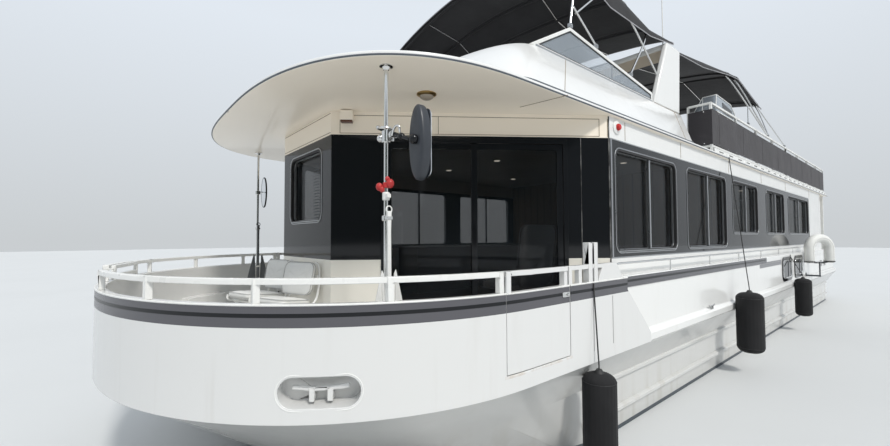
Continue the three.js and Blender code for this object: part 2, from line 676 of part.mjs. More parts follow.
// Upper deck: the cabin's roof, with its brow over the bow deck.
function upperDeck() {
  const outline = [...browArc(0, -1, 1, 28), [HALF_ROOF, ROOF_AFT], [-HALF_ROOF, ROOF_AFT]];
  return slab(outline, WALL_TOP + GAP, ROOF_TOP);
}
place("upper_deck", upperDeck(), LOOK.gelcoat);

// Flybridge coaming: a sloping wall round the front and sides of the helm.
const COAMING = {
  baseFront: -7250, topFront: -6650, baseHalf: 2370, topHalf: 1990, round: 600, power: 3, wall: 55,
  topEnd: -2510, baseEnd: -3150,
};
function coamingShell(inset, z0, z1) {
  const { baseFront, topFront, baseHalf, topHalf, round, power, topEnd } = COAMING;
  const mix = (from, to, share) => from + (to - from) * share;
  const ring = (z) => {
    const share = (z - ROOF_TOP) / (COAMING_TOP - ROOF_TOP);
    const [front, half] = [mix(baseFront, topFront, share), mix(baseHalf, topHalf, share)];
    const corner = planArc(front, half, round, power, inset, -1, 1, 20);
    const end = topEnd + inset;
    return [...corner, [half - inset, end], [-half + inset, end]].map(([x, y]) => V(x, y, z));
  };
  return loft([ring(z0), ring(z1)]);
}

// The wall is open aft, where its ends slope down and forward.
function coaming() {
  const { wall, topEnd, baseEnd } = COAMING;
  const outside = coamingShell(0, ROOF_TOP + GAP, COAMING_TOP);
  const inside = coamingShell(wall, ROOF_TOP - 50, COAMING_TOP + 20);
  const back = topEnd + 50;
  const [low, high] = [ROOF_TOP - 20, COAMING_TOP + 20];
  const tail = [[topEnd + 20, high], [baseEnd - 20, low], [back, low], [back, high]];
  return cut(outside, inside, sideSlab(tail, -HALF_ROOF, HALF_ROOF));
}
place("flybridge_coaming", coaming(), LOOK.gelcoat);

// Wing windscreens: a framed pane along each side of the coaming.
const ON_COAMING = COAMING_TOP + GAP;
const WING_X = COAMING.topHalf - 28;
const WING = [[-6250, ON_COAMING], [-5540, 4370], [-3480, 4105], [-3480, ON_COAMING]];
const WING_PANE = [[-6111, 4005], [-5532, 4331], [-3515, 4071], [-3515, 4005]];
const WING_GLASS = [[-6130, 3997], [-5535, 4341], [-3500, 4081], [-3500, 3997]];
function wing() {
  const frame = cut(sideSlab(WING, -12, 12), sideSlab(WING_PANE, -20, 20));
  return moved(join(frame, sideSlab(WING_GLASS, -4, 4)), WING_X, 0, 0);
}
placePair("windscreen", wing(), LOOK.glass);

// Radar arch: two raked legs and a cross beam, with a whip aerial.
const ARCH = { x0: 1905, x1: 1985, footFront: -3440, footBack: -2520, topFront: -2930, topBack: -2450 };
const BEAM = 80;
const AERIAL = { x: 1800, y: -2630, top: 7300, radius: 9, base: 25 };
function arch() {
  const { x0, x1, footFront, footBack, topFront, topBack } = ARCH;
  const side = [[footFront, ON_COAMING], [footBack, ON_COAMING], [topBack, ARCH_TOP], [topFront, ARCH_TOP]];
  const leg = sideSlab(side, x0, x1);
  const beam = box(-x0 - BITE, x0 + BITE, topFront, topBack, ARCH_TOP - BEAM, ARCH_TOP);
  const { x, y, top, radius, base } = AERIAL;
  const whip = pipe([V(x, y, ARCH_TOP - 10), V(x, y, top)], radius, 6);
  const stand = box(x - base, x + base, y - base, y + base, ARCH_TOP - 10, ARCH_TOP + 120);
  return join(leg, mirrored(leg), beam, stand, whip);
}
place("radar_arch", arch(), LOOK.gelcoat);

// Canopies: bent tube bows under a stretched canvas. Columns: foot x, foot y, foot z, y and z of the
// shoulders, rise of the crown over them.
const BIMINI_HALF = 1930;
const TUBE = 13;
const RUNNER_X = 900;
const [wingApex, wingEnd] = [WING[1], WING[2]];
const wingSlope = (wingEnd[1] - wingApex[1]) / (wingEnd[0] - wingApex[0]);
const wingTop = (y) => wingApex[1] + wingSlope * (y - wingApex[0]);
const onWing = (y) => [WING_X, y, wingTop(y) + 40];
const FORWARD_BOWS = [
  [...onWing(-5520), -5300, 5340, 420],
  [1940, -5370, 4600, -4600, 5290, 360],
  [1945, -3240, 4438, -4200, 5200, 200],
  [...onWing(-4100), -3450, 5060, 200],
];
const RAIL_X = 2300;
const onRail = (y) => [RAIL_X, y, UPPER_RAIL_TOP + 30];
const AFT_BOWS = [
  [1945, -2455, 4500, -2350, 5040, 240],
  [...onRail(1320), 200, 5360, 240],
  [...onRail(1400), 760, 5420, 240],
  [...onRail(1480), 2250, 5180, 240],
];

// A bow rises from its feet, bends in at its shoulders and crosses under the canvas.
const runnerRise = 0.78;
function biminiBow([footX, footY, footZ, y, z, crown]) {
  const half = BIMINI_HALF;
  const side = (s) => [
    V(s * footX, footY, footZ),
    V(s * half, y, z - 60),
    V(s * (half - 160), y, z + crown / 4),
  ];
  const quarter = (s) => V(s * RUNNER_X, y, z + crown * runnerRise);
  const top = V(0, y, z + crown);
  return pipe([...side(1), quarter(1), top, quarter(-1), ...side(-1).toReversed()], TUBE, 6);
}

// Canvases: stations along the boat. Columns: y, shoulder z, rise of the crown, lower edge z.
const FORWARD_CANVAS = [
  [-5340, 5350, 430, 5150],
  [-5300, 5340, 420, 5130],
  [-4600, 5294, 360, 4943],
  [-4200, 5200, 200, 4943],
  [-3450, 5060, 200, 4942],
  [-2640, 5115, 200, 5062],
];
const AFT_CANVAS = [
  [-2420, 5031, 240, 4978],
  [-2350, 5040, 240, 4987],
  [-1300, 5172, 240, 5062],
  [200, 5360, 240, 5307],
  [760, 5420, 240, 5367],
  [2250, 5180, 240, 5127],
  [2550, 5130, 240, 5077],
];
const CANVAS_THICK = 8;
const CANVAS_LIFT = 0.9;
const CANVAS_HALF = BIMINI_HALF + 28;

function canvas(stations) {
  const rings = stations.map(([y, z, crown, lower]) => {
    const high = z + crown + TUBE + CANVAS_LIFT + CANVAS_THICK;
    const edge = high - crown - 30;
    const port = [
      [CANVAS_HALF, lower],
      [CANVAS_HALF, edge],
      [BIMINI_HALF - 150, high - crown * 0.7],
      [RUNNER_X, high - crown * 0.2],
      [0, high],
    ];
    const over = [...port, ...port.slice(0, -1).toReversed().map(([x, up]) => [-x, up])];
    const under = over.toReversed().map(([x, up]) => {
      return [x - sign(x) * CANVAS_THICK, up < edge ? up : up - CANVAS_THICK];
    });
    return [...over, ...under].map(([x, up]) => V(x, y, up));
  });
  return loft(rings);
}

// A frame is its bows, a runner on each side of the crown, braces, and feet. The runner goes on past
// the last bow to the points given.
function biminiFrame(bows, braces, feet, beyond = []) {
  const line = bows.map(([, , , y, z, crown]) => V(RUNNER_X, y, z + crown * runnerRise));
  const runner = pipe([...line, ...beyond], 8, 6);
  const struts = braces.map((points) => pipe(points.map(([x, y, z]) => V(x, y, z)), TUBE - 2, 6));
  const pads = feet.map(([x, y, z]) => box(x - 16, x + 16, y - 30, y + 30, z, z + 50));
  const half = [...struts, ...pads, runner];
  return join(...bows.map(biminiBow), ...half, ...half.map(mirrored));
}
const forwardFeet = [-5520, -4980, -4100].map((y) => [WING_X, y, wingTop(y - 30) + GAP]);
const aftFeet = [1400, -60, 2950].map((y) => [RAIL_X, y, UPPER_RAIL_TOP + GAP]);
const forwardBraces = [[onWing(-4980), [1952, -5456, 4660]]];
const aftBraces = [
  [[2115, 760, 4750], onRail(-60)],
  [[BIMINI_HALF, 2240, 5110], onRail(2950)],
  [onRail(1320), onRail(1480)],
];
const forwardBack = [V(RUNNER_X, -2660, 5113 + 200 * runnerRise)];
const forwardFrame = biminiFrame(FORWARD_BOWS, forwardBraces, forwardFeet, forwardBack);
place("bimini_forward_frame", forwardFrame, LOOK.steel);
place("bimini_forward_canvas", canvas(FORWARD_CANVAS), LOOK.canvas);
place("bimini_aft_frame", biminiFrame(AFT_BOWS, aftBraces, aftFeet), LOOK.steel);
place("bimini_aft_canvas", canvas(AFT_CANVAS), LOOK.canvas);

// Upper rail: posts and rails round the open part of the upper deck, and a cloth outside it.
const UPPER = {
  x: RAIL_X, front: -2150, back: 8200, post: 18, bar: 34, lowBar: 3455, wrap: 320,
  cloth: 6, clothBottom: 3500, clothTop: 4050,
};
function upperRail() {
  const { x, front, back, post, bar, lowBar, wrap } = UPPER;
  const half = bar / 2;
  const runs = [UPPER_RAIL_TOP - bar, lowBar].flatMap((z) => [
    ...[-x, x].map((side) => box(side - half, side + half, front - half, back + half, z, z + bar)),
    box(-x, x, back - half, back + half, z, z + bar),
    box(x - wrap, x, front - half, front + half, z, z + bar),
    box(-x, -x + wrap, front - half, front + half, z, z + bar),
  ]);
  const [low, high] = [ROOF_TOP + GAP, UPPER_RAIL_TOP - 10];
  const stand = (px, py) => box(px - post, px + post, py - post, py + post, low, high);
  const stations = Array.from({ length: 9 }, (_, i) => front + ((back - front) * i) / 8);
  const posts = stations.flatMap((y) => [stand(x, y), stand(-x, y)]);
  const inner = [stand(x - wrap, front), stand(-x + wrap, front)];
  return join(...runs, ...posts, ...inner, ...[-1150, 0, 1150].map((side) => stand(side, back)));
}
place("upper_rail", upperRail(), LOOK.rail);

function weatherCloth() {
  const { x, front, back, post, wrap, cloth, clothBottom, clothTop } = UPPER;
  const inner = post + GAP;
  const outer = inner + cloth;
  const outside = [[x - wrap, front - outer], [x + outer, front - outer], [x + outer, back + outer]];
  const inside = [[x + inner, back + inner], [x + inner, front - inner], [x - wrap, front - inner]];
  const other = (points) => points.toReversed().map(([px, py]) => [-px, py]);
  return slab([...outside, ...other(outside), ...other(inside), ...inside], clothBottom, clothTop);
}
place("weather_cloth", weatherCloth(), LOOK.cloth);

// Helm on the upper deck
const HELM = { half: 500, front: -6150, back: -5500, wheelY: -5410, wheelZ: 4060, wheelTilt: -65 };
const WHEEL = { inner: 170, outer: 200, half: 14, spoke: 12, hub: 18, column: 120 };
function helmConsole() {
  const { half, front, back, wheelY, wheelZ, wheelTilt } = HELM;
  const foot = ROOF_TOP + GAP;
  const profile = [[front, foot], [back, foot], [back, 4150], [back - 200, 4280], [front, 3980]];
  const { inner, outer, half: thick, spoke, hub, column } = WHEEL;
  const rim = [[inner, -thick], [outer, -thick], [outer, thick], [inner, thick], [inner, -thick]];
  const reach = (inner + outer) / 2;
  const spokes = [
    box(-reach, reach, -spoke, spoke, -8, 8),
    box(-spoke, spoke, -reach, reach, -8, 8),
    box(-hub, hub, -hub, hub, -column, 8),
  ];
  const wheel = join(turnedPost(rim, 20), ...spokes).rotate([wheelTilt, 0, 0]);
  return join(sideSlab(profile, -half, half), moved(wheel, 0, wheelY, wheelZ));
}
place("helm_console", helmConsole(), LOOK.gelcoat);

const HELM_SEAT = { half: 450, front: -4760, back: -4220, bottom: 3800, top: 3900, backTop: 4400 };
function helmSeat() {
  const { half, front, back, bottom, top, backTop } = HELM_SEAT;
  const base = box(-half + 30, half - 30, front + 60, back - 30, ROOF_TOP + GAP, bottom);
  const cushion = box(-half, half, front, back, bottom, top);
  const rest = [[back - 80, top - 10], [back, top - 10], [back + 100, backTop], [back + 20, backTop]];
  return join(base, cushion, sideSlab(rest, -half, half));
}
place("helm_seat", helmSeat(), LOOK.vinyl);

// Grill on the upper deck, inside the rail, with a ridged hood that slopes inboard and aft.
// Hood sections from front to back: y, then the height of the outboard edge, the ridge's inner
// edge and the inboard edge over the cabinet.
const GRILL = { x0: 1800, x1: 2180, y0: -1450, y1: -250, top: 4180, ridge: 1960, lip: 10 };
const HOOD = [
  [-1440, 60, 60, 20],
  [-1390, 320, 320, 80],
  [-620, 300, 300, 80],
  [-330, 130, 130, 50],
  [-270, 30, 30, 20],
];
function grill() {
  const { x0, x1, y0, y1, top, ridge, lip } = GRILL;
  const cabinet = box(x0, x1, y0, y1, ROOF_TOP + GAP, top);
  const rings = HOOD.map(([y, outer, inner, low]) => [
    V(x0 + lip, y, top - BITE),
    V(x1 - lip, y, top - BITE),
    V(x1 - lip, y, top + outer),
    V(ridge, y, top + inner),
    V(x0 + lip, y, top + low),
  ]);
  return join(cabinet, loft(rings));
}
place("grill", grill(), LOOK.steel);

// Poles under the brow, with a mirror and an anchor on each
const POLE_RADIUS = 16;
const PORT_POLE = [1930, -7880];
const STARBOARD_POLE = [-1900, -7720];
function pole([x, y]) {
  const shaft = pipe([V(x, y, DECK_TOP + GAP), V(x, y, WALL_TOP)], POLE_RADIUS, 10);
  const feet = [DECK_TOP + GAP, WALL_TOP - 12].map((z) => box(x - 50, x + 50, y - 50, y + 50, z, z + 12));
  return join(shaft, ...feet);
}
place("pole_port", pole(PORT_POLE), LOOK.steel);
place("pole_starboard", pole(STARBOARD_POLE), LOOK.steel);

function clamp([x, y], z) {
  const collar = slab(ringOutline(x, y, 40, 12), z - 28, z + 28);
  return cut(collar, pipe([V(x, y, z - 60), V(x, y, z + 60)], POLE_RADIUS + GAP, 10));
}

// Mirrors on arms from the poles: an oval housing to port, a round-edged disc to starboard.
function ellipseRing(centre, across, tall, depth) {
  return Array.from({ length: 14 }, (_, k) => {
    const angle = (2 * PI * k) / 14;
    return V(centre.x + across * cos(angle), centre.y - depth, centre.z + tall * sin(angle));
  });
}

const PORT_MIRROR = V(2240, -7800, 2700);
const STARBOARD_MIRROR = V(-2090, -7580, 2750);
function mirrorPort() {
  const [x, y] = PORT_POLE;
  const centre = PORT_MIRROR;
  const path = [V(x + 30, y, 2800), V(x + 200, y + 10, 2760), V(centre.x - 30, centre.y + 10, 2715)];
  const steps = [[0.6, -60], [1, -35], [1, 10], [0.85, 35]];
  const rings = steps.map(([size, depth]) => ellipseRing(centre, 82 * size, 131 * (1 + size), depth));
  return join(clamp(PORT_POLE, 2800), pipe(path, 13, 6), loft(rings));
}
place("mirror_port", mirrorPort(), LOOK.rubber);

function mirrorStarboard() {
  const [x, y] = STARBOARD_POLE;
  const centre = STARBOARD_MIRROR;
  const arm = pipe([V(x - 25, y + 15, 2720), V(centre.x + 10, centre.y - 5, 2745)], 12, 6);
  const disc = loft([-14, 14].map((depth) => ellipseRing(centre, 125, 235, depth)));
  return join(clamp(STARBOARD_POLE, 2720), arm, disc);
}
place("mirror_starboard", mirrorStarboard(), LOOK.rubber);

// Anchors stowed upright on the port face of the poles, crown down, flukes fore and aft.
const ANCHOR = { crown: 165, bottom: 1370, top: 2260, half: 14, stock: 24, clips: [1640, 2190] };
const FLUKE = [[30, 1400], [158, 1400], [55, 1825]];
function anchor(atPole) {
  const { crown, bottom, top, half, stock, clips } = ANCHOR;
  const y = -POLE_RADIUS - GAP - stock;
  const blade = crossSlab(FLUKE, y - 9, y + 9);
  const pieces = [
    box(-half, half, y - half, y + half, bottom, top),
    box(-crown, crown, y - 20, y + 20, bottom, bottom + 50),
    box(-stock, stock, y - stock, y + stock, top - 40, top + 20),
  ];
  const flat = join(...pieces, blade, mirrored(blade));
  return moved(join(turned(flat, 90), ...clips.map((z) => clamp([0, 0], z))), ...atPole, 0);
}
place("anchor_port", anchor(PORT_POLE), LOOK.gelcoat);
place("anchor_starboard", anchor(STARBOARD_POLE), LOOK.iron);

// Deck chairs: a padded seat with a thick front, a padded back that leans towards the cabin, and
// a bent tube frame. Columns: name, x and y of the seat's rear edge, depth of the seat and the
// turn to port in degrees.
const CHAIRS = [
  ["deck_chair_port", 300, -7950, 330, 20],
  ["deck_chair_starboard", -350, -7960, 430, 15],
];
const CHAIR = { half: 230, front: 1490, rear: 1440, pad: 80, bolster: 110, top: 1815, lean: 95, tube: 12 };
function chair(atX, atY, depth, turn) {
  const { half, front, rear, pad, bolster, top, lean, tube } = CHAIR;
  const [x, y0, y1] = [0, -depth, 0];
  const seatSide = [[y0, front - bolster], [y0 + 90, front - bolster], [y1, rear - pad], [y1, rear]];
  seatSide.push([y0 + 110, rear + 20], [y0 + 30, front], [y0, front - 20]);
  const seat = sideSlab(seatSide, x - half, x + half);
  const backSide = [[y1 - 60, rear - 40], [y1 + 10, rear - 40], [y1 + lean + 20, top], [y1 + lean - 50, top]];
  const back = sideSlab(backSide, x - half, x + half);
  const floor = DECK_TOP + GAP;
  const legs = [-1, 1].flatMap((side) => {
    const lx = x + side * (half - 14);
    const [low, ahead, behind] = [floor + tube + 4, y0 + 20, y1 + 20];
    const arm = [V(lx, behind, low), V(lx, y0 + 60, front - 60)];
    const brace = [V(lx, ahead, low), V(lx, y1 - 20, rear - 30)];
    const feet = [ahead, behind].map((y) => box(lx - 15, lx + 15, y - 22, y + 22, floor, floor + 18));
    return [pipe(arm, tube, 6), pipe(brace, tube, 6), ...feet];
  });
  return moved(turned(join(seat, back, ...legs), turn), atX, atY, 0);
}
CHAIRS.forEach(([name, ...row]) => place(name, chair(...row), LOOK.vinyl));

// Aft deck posts, rail and ladder, and the swim platform
function aftPosts() {
  const posts = [-1, 1].map((side) => {
    const x = side * 2270;
    return box(x - 35, x + 35, 8080, 8150, DECK_TOP + GAP, WALL_TOP);
  });
  const rail = [1500, 1950].map((z) => box(-2270, -500, 8095, 8135, z, z + 40));
  const railPort = [1500, 1950].map((z) => box(500, 2270, 8095, 8135, z, z + 40));
  const ends = [-520, 480].map((x) => box(x, x + 40, 8095, 8135, DECK_TOP + GAP, 1980));
  return [join(posts[1], ...railPort, ends[1]), join(posts[0], ...rail, ends[0])];
}
const [aftPort, aftStarboard] = aftPosts();
place("aft_post_port", aftPort, LOOK.rail);
place("aft_post_starboard", aftStarboard, LOOK.rail);

function swimPlatform() {
  const start = TRANSOM - 60;
  const port = [[2200, start], [2200, PLATFORM_END - 150], [2050, PLATFORM_END]];
  const board = slab([...port, ...port.toReversed().map(([x, y]) => [-x, y])], 330, 400);
  const brackets = [-1500, 0, 1500].map((x) => {
    return sideSlab([[start, 335], [TRANSOM + 500, 335], [start, 60]], x - 30, x + 30);
  });
  return offHull(join(board, ...brackets), GAP, 0);
}
place("swim_platform", swimPlatform(), LOOK.gelcoat);

// Struts that carry the shafts, four-bladed propellers and spade rudders
const SHAFT_SLOPE = (DRIVE.shaftFront.z - DRIVE.hub.z) / (DRIVE.hub.y - DRIVE.shaftFront.y);
const SHAFT_TILT = -90 - (Math.atan(SHAFT_SLOPE) * 180) / PI;
const STRUT = { ahead: 330, radius: 62, hole: SHAFT + 2, half: 110, thick: 14 };
function strut() {
  const { x, hub } = DRIVE;
  const { ahead, radius, hole, half, thick } = STRUT;
  const round = (size, reach) => slab(ringOutline(0, 0, size, 10), -reach, reach);
  const tube = cut(round(radius, half), round(hole, half + 40));
  const [y, z] = [hub.y - ahead, hub.z + ahead * SHAFT_SLOPE];
  const ring = moved(tube.rotate([SHAFT_TILT, 0, 0]), x, y, z);
  const foot = z + radius - 12;
  const outline = [[y - half, -300], [y + half, -300], [y + half - 30, foot], [y - half + 10, foot]];
  return join(ring, sideSlab(outline, x - thick, x + thick));
}
placePair("shaft_strut", offHull(strut(), 0, -GAP), LOOK.bronze);

function propeller() {
  const { hub, radius, shaftFront } = DRIVE;
  const profile = [[0, -120], [62, -120], [70, 0], [50, 90], [0, 110], [0, -120]];
  const boss = turnedPost(profile, 12);
  const blade = loft([50, 120, 200, radius].map((r, i) => {
    const pitch = ((58 - i * 9) * PI) / 180;
    const wide = [80, 130, 150, 70][i];
    return [[-1, -1], [1, -1], [1, 1], [-1, 1]].map(([u, v]) => {
      const [along, thick] = [(u * wide) / 2, v * (8 - i)];
      return V(r, along * cos(pitch) - thick * sin(pitch), along * sin(pitch) + thick * cos(pitch));
    });
  }));
  const wheel = join(boss, ...[0, 90, 180, 270].map((turn) => turned(blade, turn)));
  const set = moved(wheel.rotate([SHAFT_TILT, 0, 0]), hub.x, hub.y, hub.z);
  return join(set, pipe([shaftFront, hub], SHAFT, 10));
}
placePair("propeller", propeller(), LOOK.bronze);

function rudder() {
  const { x } = DRIVE;
  const { y, stock, seat, top, bottom } = RUDDER;
  const outline = [[y - 200, top], [y + 260, top], [y + 200, bottom], [y - 120, bottom]];
  const blade = sideSlab(outline, x - 22, x + 22);
  return join(blade, slab(ringOutline(x, y, stock, 12), top - 40, seat - GAP));
}
placePair("rudder", rudder(), LOOK.bronze);

// Fenders hung outboard on the port side. Columns: name, y, radius, bottom, top, x of the face it
// lies on, then x, y and z of the place its line is tied to.
const KNUCKLE = HALF_DECK - 12;
const FLARE = 2438.75;
const FENDERS = [
  ["fender_forward", -6130, 144, 12, 875, FLARE, HALF_DECK, -6130, 1640],
  ["fender_middle", -2030, 175, 310, 1215, KNUCKLE, HALF_ROOF, -1650, 3340],
  ["fender_aft", 2150, 147, 320, 1135, KNUCKLE, HALF_WAIST, 2150, 1640],
];
const FENDER_LINE = 7;
function fender(y, radius, bottom, top, face, tiedFace, tiedY, tiedZ) {
  const x = face + radius + GAP;
  const round = radius * 0.45;
  const end = radius * 0.6;
  const side = [[0, bottom], [end, bottom], [radius, bottom + round], [radius, top - round], [end, top]];
  const body = moved(turnedPost([...side, [0, top], [0, bottom]], 16), x, y, 0);
  const tiedX = tiedFace + FENDER_LINE * cos(PI / 6) + GAP;
  const path = [V(x, y, top - 10), V(x, y, top + 60), V(tiedX, tiedY, tiedZ - 40), V(tiedX, tiedY, tiedZ)];
  return join(body, pipe(path, FENDER_LINE, 6));
}
FENDERS.forEach(([name, ...row]) => place(name, fender(...row), LOOK.canvas));

// Horseshoe buoy in a cover, open downward, on a post and an arm of the port side deck
const BUOY = { x: 2727, y: 3880, z: 1740, legs: 1390, across: 300, up: 255, tube: 105 };
const BUOY_ALONG = { alongX: 0.485, alongY: 0.875 };
const BUOY_ARM = { half: 18, z: 1060, strap: 1410, rod: 14 };
function buoy() {
  const { x, y, z, legs, across, up, tube } = BUOY;
  const { alongX, alongY } = BUOY_ALONG;
  const points = [V(x + across * alongX, y + across * alongY, legs)];
  for (let i = 0; i <= 10; i++) {
    const angle = (PI * i) / 10;
    const reach = across * cos(angle);
    points.push(V(x + reach * alongX, y + reach * alongY, z + up * sin(angle)));
  }
  points.push(V(x - across * alongX, y - across * alongY, legs));
  const { half, z: armZ, strap, rod } = BUOY_ARM;
  const arm = box(HALF_WAIST + GAP, x + half, y - half, y + half, armZ, armZ + 2 * half);
  const post = pipe([V(x, y, armZ + half), V(x, y, strap)], rod, 8);
  const ends = [-across, across].map((reach) => V(x + reach * alongX, y + reach * alongY, strap));
  return join(pipe(points, tube, 8), arm, post, pipe(ends, rod, 8));
}
place("horseshoe_buoy", buoy(), LOOK.vinyl);

// Saloon furniture that shows through the glass
const SETTEE = { x0: 1500, x1: 2200, y0: -4900, y1: -2700, seat: 1430, back: 1800, deep: 210 };
function settee() {
  const { x0, x1, y0, y1, seat, back, deep } = SETTEE;
  return join(box(x0, x1, y0, y1, DECK_TOP + GAP, seat), box(x1 - deep, x1, y0, y1, seat - BITE, back));
}
place("saloon_settee", settee(), LOOK.vinyl);

const BULKHEAD_Y = [-1560, -1520];
const INSIDE = HALF_CABIN - WALL - 20;
const bulkhead = box(-INSIDE, INSIDE, ...BULKHEAD_Y, DECK_TOP + GAP, WALL_TOP - 2);
place("saloon_bulkhead", bulkhead, LOOK.sole);

export default boat;
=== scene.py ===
"""Looks of a motor yacht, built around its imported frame.

Metres. +Z is up, the bow points to -Y and the port side is +X. The waterline is z = 0.
"""
import json
from math import acos, copysign, cos, exp, hypot, pi, radians, sin

import bmesh
import bpy
from mathutils import Matrix, Vector


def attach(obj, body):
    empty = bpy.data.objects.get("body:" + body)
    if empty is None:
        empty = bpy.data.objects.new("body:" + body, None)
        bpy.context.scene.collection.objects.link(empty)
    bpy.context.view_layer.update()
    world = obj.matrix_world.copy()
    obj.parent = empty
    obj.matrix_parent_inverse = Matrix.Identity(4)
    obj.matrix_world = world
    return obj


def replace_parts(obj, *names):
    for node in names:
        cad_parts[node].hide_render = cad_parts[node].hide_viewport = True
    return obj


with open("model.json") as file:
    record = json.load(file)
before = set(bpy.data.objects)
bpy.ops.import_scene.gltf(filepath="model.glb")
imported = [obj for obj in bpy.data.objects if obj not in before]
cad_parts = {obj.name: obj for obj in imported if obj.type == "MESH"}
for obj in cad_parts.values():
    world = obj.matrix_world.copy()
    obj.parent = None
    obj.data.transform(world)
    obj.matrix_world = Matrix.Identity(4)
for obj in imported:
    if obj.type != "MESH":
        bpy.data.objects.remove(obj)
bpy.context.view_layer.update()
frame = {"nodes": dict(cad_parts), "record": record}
nodes = frame["nodes"]
scene = bpy.context.scene

# Camera: the photograph's own place and angles, solved from the boat's straight lines
IMAGE_WIDTH = 890
FOCAL_PIXELS = 405.5
SENSOR = 36.0
EYE = Vector((4.4585, -9.44, 2.05))
HEADING = 0.8734
PITCH = 0.0353
ROLL = -0.0040


def make_camera():
    data = bpy.data.cameras.new("camera")
    data.sensor_width = SENSOR
    data.lens = FOCAL_PIXELS / IMAGE_WIDTH * SENSOR
    data.clip_start = 0.05
    data.clip_end = 500.0
    right = Vector((cos(HEADING), sin(HEADING), 0.0))
    ahead = Vector((-sin(HEADING), cos(HEADING), 0.0))
    rise = Vector((0.0, 0.0, 1.0))
    look = ahead * cos(PITCH) + rise * sin(PITCH)
    up = rise * cos(PITCH) - ahead * sin(PITCH)
    level = right * cos(ROLL) + up * sin(ROLL)
    upward = up * cos(ROLL) - right * sin(ROLL)
    camera = bpy.data.objects.new("camera", data)
    basis = Matrix((level, upward, -look)).transposed()
    camera.matrix_world = Matrix.Translation(EYE) @ basis.to_4x4()
    scene.collection.objects.link(camera)
    scene.camera = camera


make_camera()

# Sizes that the frame shares with this script
BOW_TIP = -9.5
BOW_LENGTH = 2.5
BOW_REAR = BOW_TIP + BOW_LENGTH
BOW_POWER = 2.07
BULWARK = 0.07
BULWARK_AFT = -5.49
ROOF_FRONT = -8.53
ROOF_AFT = 8.3
BROW_LENGTH = 1.855
BROW_POWER = 3.0
CABIN_AFT = 7.2
DECK = 1.0
CAP = 1.65
BAND_LOW = 1.831
BAND_HIGH = 3.075
WALL_TOP = 3.31
ROOF_TOP = 3.355
HALF_CABIN = 2.35
HALF_DECK = 2.54
HALF_WAIST = 2.47
HALF_ROOF = 2.39
BAND_AFT = 5.36
PANEL_AFT = 7.18
FACET_START = Vector((0.68, -7.74, 0.0))
FACET_END = Vector((2.35, -5.45, 0.0))
FACET_ALONG = (FACET_END - FACET_START).normalized()
FACET_OUT = Vector((FACET_ALONG.y, -FACET_ALONG.x, 0.0))
DOOR_FROM = 0.49
DOOR_TO = 2.39
DOOR_BOTTOM = 1.03
DOOR_MEET = 1.426
GATE_FRONT = -7.26
GATE_BACK = -6.48
GATE_SILL = 1.05
GATE_FRONT_STATION = 2 / pi * acos(((BOW_REAR - GATE_FRONT) / BOW_LENGTH) ** (BOW_POWER / 2))
GATE_BACK_STATION = 1 + (GATE_BACK - BOW_REAR)
POCKET_AT = (2.075, -8.43)
POCKET_ANGLE = 57
WINDOW_TOP = 2.99
FORWARD_SILL = 1.885
AFT_SILL = 2.095
# Side windows: columns are front, back, bottom and mullion
SIDE_WINDOWS = [
    (-5.33, -3.73, FORWARD_SILL, -4.47), (-3.36, -1.70, FORWARD_SILL, -2.49),
    (-1.36, 0.19, AFT_SILL, -0.52), (0.83, 2.40, AFT_SILL, 1.68), (2.83, 5.25, AFT_SILL, 4.11),
]
FACET_WINDOWS = [(0.33, 1.33), (1.42, 2.52)]
SIDES = (("port", 1), ("starboard", -1))
SIGNS = (1, -1)



# Shader building blocks
class Nodes:
    """A node tree that short calls fill."""

    def __init__(self, tree):
        self.tree = tree

    def put(self, inputs, values):
        for key, value in values.items():
            if isinstance(value, bpy.types.NodeSocket):
                self.tree.links.new(value, inputs[key])
            else:
                inputs[key].default_value = value

    def add(self, kind, values=None, **settings):
        node = self.tree.nodes.new(f"ShaderNode{kind}")
        for key, value in settings.items():
            setattr(node, key, value)
        self.put(node.inputs, values or {})
        return node.outputs

    def op(self, kind, a, b=0.0, clamp=False):
        return self.add("Math", {0: a, 1: b}, operation=kind, use_clamp=clamp)[0]

    def dot(self, first, second):
        return self.add("VectorMath", {0: first, 1: second}, operation="DOT_PRODUCT")["Value"]

    def ramp(self, value, low, high, start=0.0, end=1.0):
        ends = {"From Min": low, "From Max": high, "To Min": start, "To Max": end}
        return self.add("MapRange", {"Value": value, **ends})["Result"]

    def mix(self, mask, first, second, kind="RGBA"):
        return self.add("Mix", {"Factor": mask, "A": first, "B": second}, data_type=kind)["Result"]


